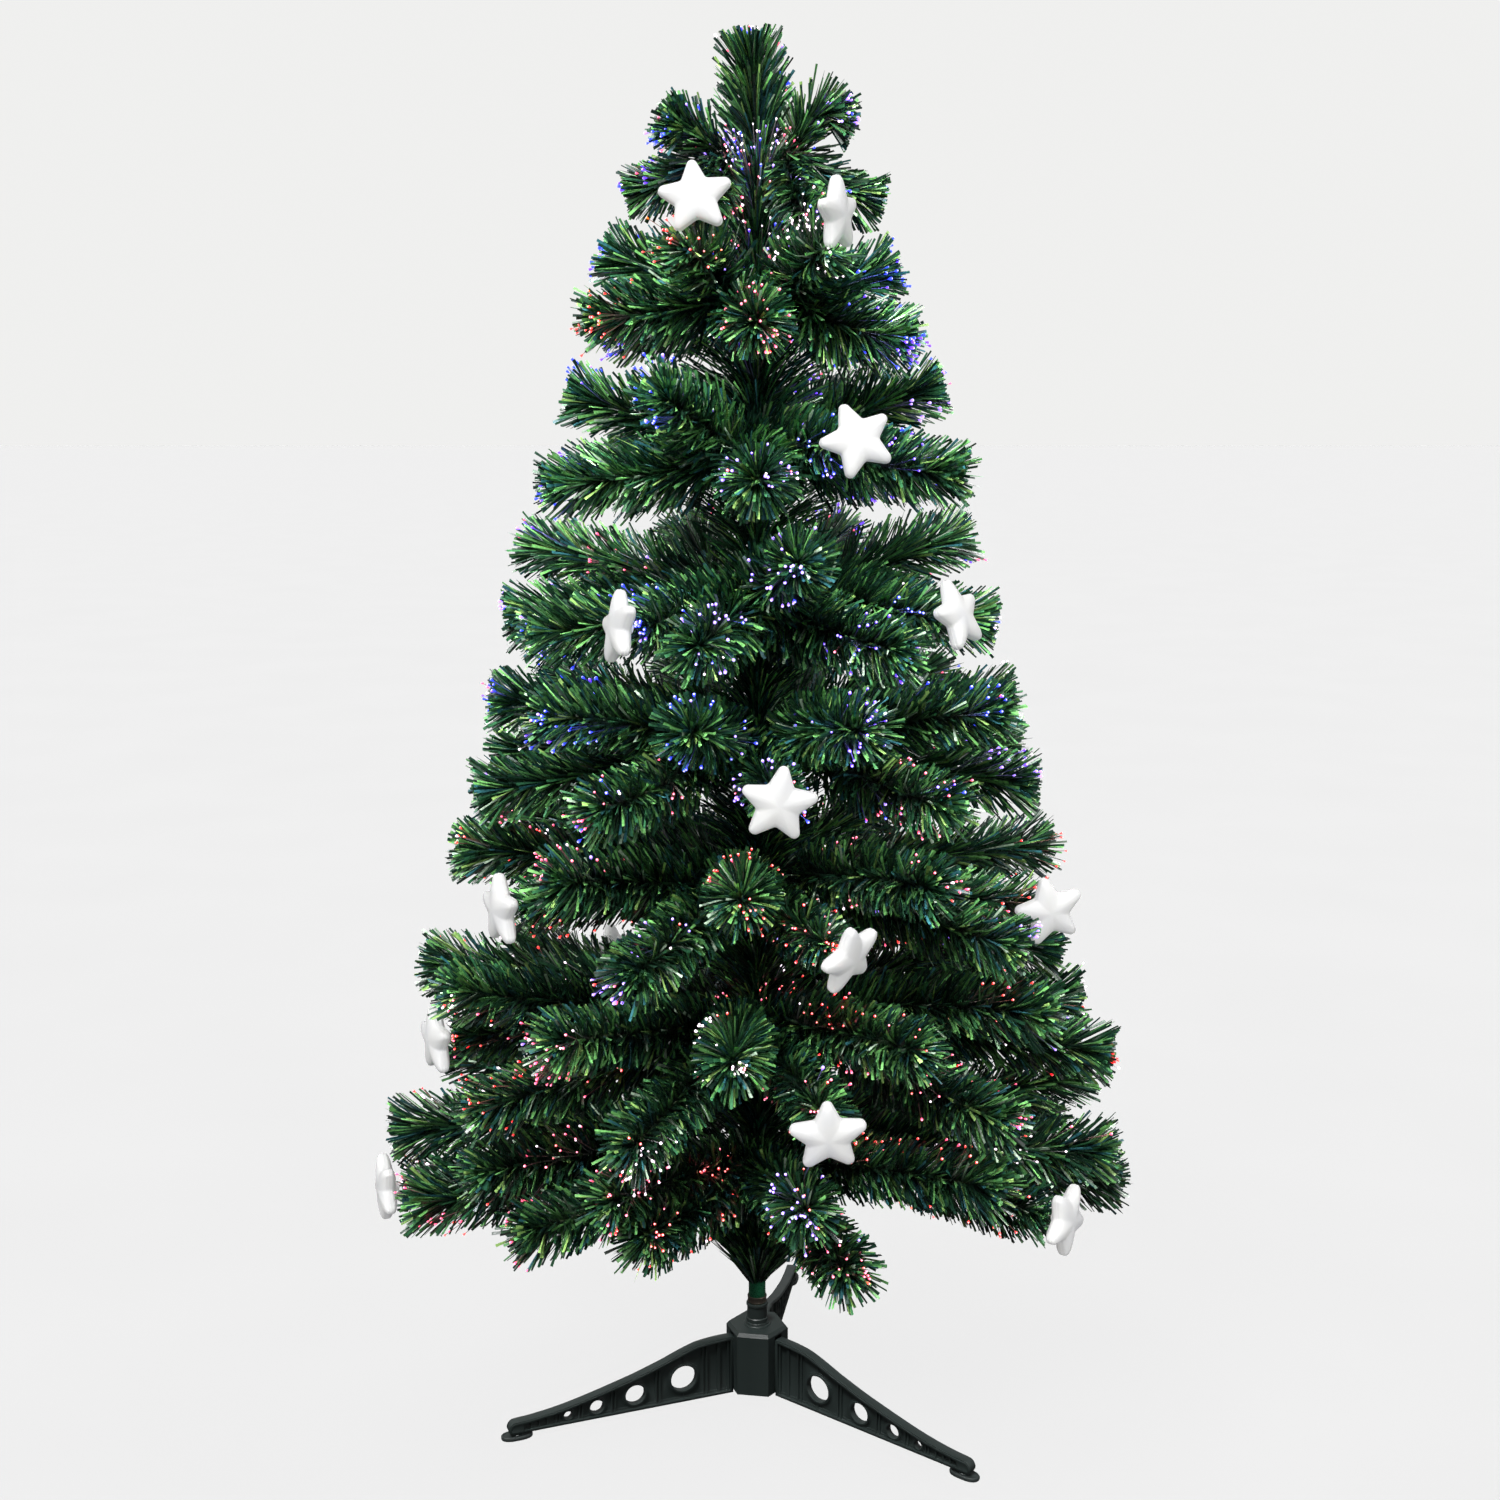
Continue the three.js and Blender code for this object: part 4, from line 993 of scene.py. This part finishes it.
# ---- legs ----------------------------------------------------------------------
TOP = [(25, 59.5), (33, 59.5), (42, 59.2), (52, 58.3), (60, 57), (67, 55), (78, 51.2), (92, 45.8), (105, 41.5), (120, 36.8), (139, 31.7), (155, 27.6), (176, 22.7), (195, 19.2), (213, 17), (223, 16.4)]


def smooth_line(pts, per):
    p = [np.array(q, float) for q in pts]
    p = [2 * p[0] - p[1]] + p + [2 * p[-1] - p[-2]]
    res = []
    for i in range(1, len(p) - 2):
        for k in range(per):
            t = k / per
            a, b, c, d = p[i - 1 : i + 3]
            res.append(0.5 * (2 * b + (c - a) * t + (2 * a - 5 * b + 4 * c - d) * t**2 + (3 * b - a - 3 * c + d) * t**3))
    return res + [p[-2]]


def arc(cx, cy, r, a0, a1, n):
    return [np.array([cx + r * math.cos(w * RAD), cy + r * math.sin(w * RAD)]) for w in np.linspace(a0, a1, n)]


def leg_outline(d):
    """Side view, d millimetres inside the outer line."""
    line = smooth_line(TOP, 4)
    t = np.gradient(np.array(line), axis=0)
    t /= np.linalg.norm(t, axis=1)[:, None]
    top = [q + np.array([k[1], -k[0]]) * d for q, k in zip(line, t)]
    if d:
        top = [q for q in top if q[0] > 25 + d]
        top = [np.array([25 + d, top[0][1]])] + top
    rr = 7.8 - d * 0.85
    cx, cy = 226.2, 9.2
    end = [np.array([cx + rr * math.cos(w * RAD), cy + (rr - 0.5) * math.sin(w * RAD)]) for w in np.linspace(66, 6, 9)]
    low = [np.array([cx + rr, cy - 0.6 + 0.15 * d]), np.array([cx + rr - 1.6, 5.4 + d * 0.85]), np.array([25 + d, 5.4 + d * 0.9])]
    pts = low[::-1][:1] + [low[1], low[0]] + end[::-1] + top[::-1]
    return [(float(x), float(y)) for x, y in pts]


def upright(o):
    """(u, z) outline pushed along v: the prism's own z becomes -v."""
    return place(o, Matrix.Rotation(90 * RAD, 4, "X"))


def plate(outline, v0, v1):
    return upright(prism(outline, -v1, -v0))


def leg_object():
    leg = plate(leg_outline(0), -4.5, 4.5)
    boolean(leg, [plate(leg_outline(1.0), -5.0, 5.0)], "UNION")
    deep = leg_outline(2.7)
    boolean(leg, [plate(deep, -8, -1.5), plate(deep, 1.5, 8)], "DIFFERENCE")
    keep = plate(leg_outline(1.8), -4.9, 4.9)
    bars = []
    for u, w, h in ((29.4, 2.0, 4.0), (38.4, 3.0, 3.2), (50.0, 1.2, 3.6), (53.6, 1.2, 3.0), (94.8, 1.0, 3.6), (98.4, 1.0, 3.6), (136.6, 1.0, 3.5), (140.0, 1.0, 3.5),
                    (167.0, 1.0, 3.5), (170.2, 1.0, 3.5), (188.3, 1.0, 3.4), (191.3, 1.0, 3.4), (199.0, 1.1, 3.9), (206.5, 1.1, 3.9), (213.5, 1.1, 3.9)):
        bars.append(plate([(u - w / 2, 5.4), (u + w / 2, 5.4), (u + w / 2, 61), (u - w / 2, 61)], -h, h))
    for u, z0, z1 in ((72.0, 40.0, 56.0), (72.0, 5.4, 14.5), (117.7, 29.5, 40.0)):
        bars.append(plate([(u - 0.5, z0), (u + 0.5, z0), (u + 0.5, z1), (u - 0.5, z1)], -2.6, 2.6))
    web = plate([(26.5, 6.2), (217, 6.2), (217, 9.6), (26.5, 9.6)], -2.2, 2.2)
    ribs = bars[0]
    boolean(ribs, bars[1:] + [web], "UNION")
    boolean(ribs, [keep], "INTERSECT")
    rings = []
    for u, z, r, t in HOLES:
        for rad, h in ((r + t, 3.3), (r + t + 1.3, 2.1)):
            rings.append(plate([(u + rad * math.cos(w), z + rad * math.sin(w)) for w in np.linspace(0, 2 * math.pi, 41)[:-1]], -h, h))
    boolean(leg, [ribs] + rings, "UNION")
    holes = [plate([(u + r * math.cos(w), z + r * math.sin(w)) for w in np.linspace(0, 2 * math.pi, 41)[:-1]], -9, 9) for u, z, r, t in HOLES]
    boolean(leg, holes, "DIFFERENCE")
    tongue = plate([(13.9, 11), (27, 11), (27, 58), (13.9, 58)], -4.7, 4.7)
    boss = plate([(220.8, 5.5), (231.2, 5.5), (231.2, 14.0), (220.8, 14.0)], -4.9, 4.9)
    boolean(leg, [tongue, boss], "UNION")
    socket = place(lathe([(0, 4), (3.2, 4), (3.2, 13), (0, 13)], 28), Matrix.Translation((PAD_U * MM, 0, 0)))
    boolean(leg, [socket], "DIFFERENCE")
    return tidy(leg, 0.3, 2, angle=40)


HOLES = [(72, 27.1, 12.1, 1.8), (117.7, 20.1, 9.3, 1.6), (153.6, 15.6, 6.4, 1.4), (180.1, 12.8, 4.0, 1.2)]


def pad_object():
    def ring(a, b, n=40):
        pts = []
        for w in np.linspace(0, 2 * math.pi, n + 1)[:-1]:
            c, s = math.cos(w), math.sin(w)
            pts.append((math.copysign(abs(c) ** 0.72, c) * a, math.copysign(abs(s) ** 0.9, s) * b))
        return pts

    rows = [(13.2, 6.6, 0.0), (13.8, 7.2, 0.4), (14.0, 7.4, 1.0), (14.0, 7.4, 2.6), (13.6, 7.0, 3.3), (12.9, 6.3, 3.6), (12.2, 5.6, 3.2), (11.6, 5.0, 3.1)]
    v, f = [], []
    n = 40
    for a, b, z in rows:
        v += [(x * MM, y * MM, z * MM) for x, y in ring(a, b)]
    for i in range(len(rows) - 1):
        f += [(i * n + k, i * n + (k + 1) % n, (i + 1) * n + (k + 1) % n, (i + 1) * n + k) for k in range(n)]
    f.append(tuple(range(n - 1, -1, -1)))
    f.append(tuple((len(rows) - 1) * n + k for k in range(n)))
    me = bpy.data.meshes.new("pad")
    me.from_pydata(v, [], f)
    o = link(bpy.data.objects.new("pad", me))
    stem = lathe([(0, 1.5), (5.0, 1.5), (5.0, 3.9), (4.4, 4.5), (2.8, 4.8), (2.8, 11.6), (2.0, 12.6), (0, 12.6)], 32)
    boolean(o, [stem], "UNION")
    place(o, Matrix.Translation((PAD_U * MM, 0, 0)))
    return tidy(o)


leg_made, pad_made = leg_object(), pad_object()
for k, deg in enumerate(LEG_DEG):
    turn = Matrix.Rotation(deg * RAD, 4, "Z")
    for made, name, node_name, slot, mat in (
        (leg_made, f"leg_moulding_{k + 1}", f"leg_{k + 1}", "stand_plastic", STAND),
        (pad_made, f"foot_{k + 1}", f"foot_pad_{k + 1}", "foot", FOOT),
    ):
        o = link(bpy.data.objects.new(name, made.data.copy()))
        place(o, turn)
        finish_piece(o, name, f"leg_{k + 1}", [node_name], slot, mat)
for o in (leg_made, pad_made):
    bpy.data.objects.remove(o)

for n, m in (("lamp_housing", BLACK), ("lamp_board", BOARD), ("lamp_window", CLEAR), ("power_inlet", BLACK)):
    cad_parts[n].data.materials.clear()
    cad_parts[n].data.materials.append(m)

# ---- floor, light, camera ----------------------------------------------------------
scene = bpy.context.scene
FLOOR_ALBEDO = 0.05
PAPER = 0.868  # what the floor and the backdrop look like to the camera
SKY_LOW, SKY_HIGH = 0.05, 0.78  # the light from below and from straight above
SKY = SKY_LOW + (SKY_HIGH - SKY_LOW) * (0.3 + 2 / 3) / 1.3  # on a level face
me = bpy.data.meshes.new("floor")
s = 60
me.from_pydata([(-s, -s, -0.0004), (s, -s, -0.0004), (s, s, -0.0004), (-s, s, -0.0004)], [], [(0, 1, 2, 3)])
floor = link(bpy.data.objects.new("floor", me))
fm, ft, fn, fl, fp = new_mat("floor_pale")
fz = node(ft, "ShaderNodeTexNoise", Scale=3.0, Detail=2.0)
fc = fn.new("ShaderNodeTexCoord")
fl.new(fc.outputs["Object"], fz.inputs["Vector"])
fr = ramp(ft, fz.outputs["Fac"], [(0.3, (FLOOR_ALBEDO - 0.0004,) * 3), (0.7, (FLOOR_ALBEDO + 0.0004,) * 3)])
fl.new(fr.outputs["Color"], fp.inputs["Base Color"])
fp.inputs["Roughness"].default_value = 0.9
fp.inputs["Specular IOR Level"].default_value = 0.0
me.materials.append(fm)
floor.visible_diffuse = floor.visible_glossy = False
floor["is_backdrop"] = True

world = bpy.data.worlds.new("studio")
scene.world = world
world.use_nodes = True
bg = world.node_tree.nodes["Background"]
bg.inputs["Color"].default_value = (1, 1, 0.99, 1)
wt = world.node_tree
ray = wt.nodes.new("ShaderNodeLightPath")
level = wt.nodes.new("ShaderNodeMapRange")
wc = wt.nodes.new("ShaderNodeTexCoord")
wx = wt.nodes.new("ShaderNodeSeparateXYZ")
wm = wt.nodes.new("ShaderNodeMapRange")
wt.links.new(wc.outputs["Generated"], wx.inputs["Vector"])
wt.links.new(wx.outputs["Z"], wm.inputs["Value"])
for k, v in (("From Min", -0.3), ("From Max", 1.0), ("To Min", SKY_LOW), ("To Max", SKY_HIGH)):
    wm.inputs[k].default_value = v
wt.links.new(wm.outputs["Result"], level.inputs["To Min"])
level.inputs["To Max"].default_value = PAPER
wt.links.new(ray.outputs["Is Camera Ray"], level.inputs["Value"])
wt.links.new(level.outputs["Result"], bg.inputs["Strength"])


def sun(name, az, el, energy, angle, colour=(1, 1, 1)):
    d = bpy.data.lights.new(name, "SUN")
    d.energy, d.angle, d.color = energy, angle * RAD, colour
    o = link(bpy.data.objects.new(name, d))
    back = Vector((math.sin(az * RAD) * math.cos(el * RAD), -math.cos(az * RAD) * math.cos(el * RAD), math.sin(el * RAD)))
    o.rotation_mode = "QUATERNION"
    o.rotation_quaternion = (-back).to_track_quat("-Z", "Y")
    return o


sun("key", -35, 52, 0.9, 30)
sun("fill", 48, 30, 0.55, 50)
soft_box = sun("soft_box", -14, 50, 4.8, 16)
lit = bpy.data.collections.new("lit_by_soft_box")
STAND_PIECES = ("hub_shell", "leg_moulding_1", "leg_moulding_2", "leg_moulding_3", "foot_1", "foot_2", "foot_3")
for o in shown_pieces():
    if not o.name.endswith("_ornament") and o.name not in STAND_PIECES:
        lit.objects.link(o)
soft_box.light_linking.receiver_collection = lit
for name, az, el, energy in (("back_left", -140, 42, 1.5), ("back_right", 150, 38, 1.7), ("fill_tree", 52, 26, 0.65)):
    sun(name, az, el, energy, 35).light_linking.receiver_collection = lit
ornament_light = sun("ornament_light", -8, 16, 1.6, 70)
stars_lit = bpy.data.collections.new("lit_by_ornament_light")
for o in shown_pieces():
    if o.name.endswith("_ornament"):
        stars_lit.objects.link(o)
ornament_light.light_linking.receiver_collection = stars_lit
low = bpy.data.collections.new("lit_by_stand_light")
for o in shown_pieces():
    if o.name in STAND_PIECES:
        low.objects.link(o)
stand_light = sun("stand_light", -30, 66, 6.0, 12)
stand_light.light_linking.receiver_collection = low
stand_light.light_linking.blocker_collection = low
level_on_floor = (0.9 * math.sin(52 * RAD) + 0.55 * math.sin(30 * RAD)) / math.pi
floor_light = sun("floor_light", 0, 90, math.pi * (PAPER / FLOOR_ALBEDO - SKY - level_on_floor), 5)
floor_light.data.use_shadow = False
under = bpy.data.collections.new("lit_by_floor_light")
under.objects.link(floor)
floor_light.light_linking.receiver_collection = under

cam_data = bpy.data.cameras.new("camera")
cam_data.sensor_width = 36
cam_data.lens = 18 / math.tan(43.57 / 2 * RAD)
cam_data.shift_x = -7.1 / 1500
cam_data.clip_start, cam_data.clip_end = 0.05, 200
cam = link(bpy.data.objects.new("camera", cam_data))
cam.location = (0, -1.6, 0.882)
cam.rotation_euler = ((90 - 10.03) * RAD, 0, 0)
scene.camera = cam
scene.view_settings.view_transform = "Standard"
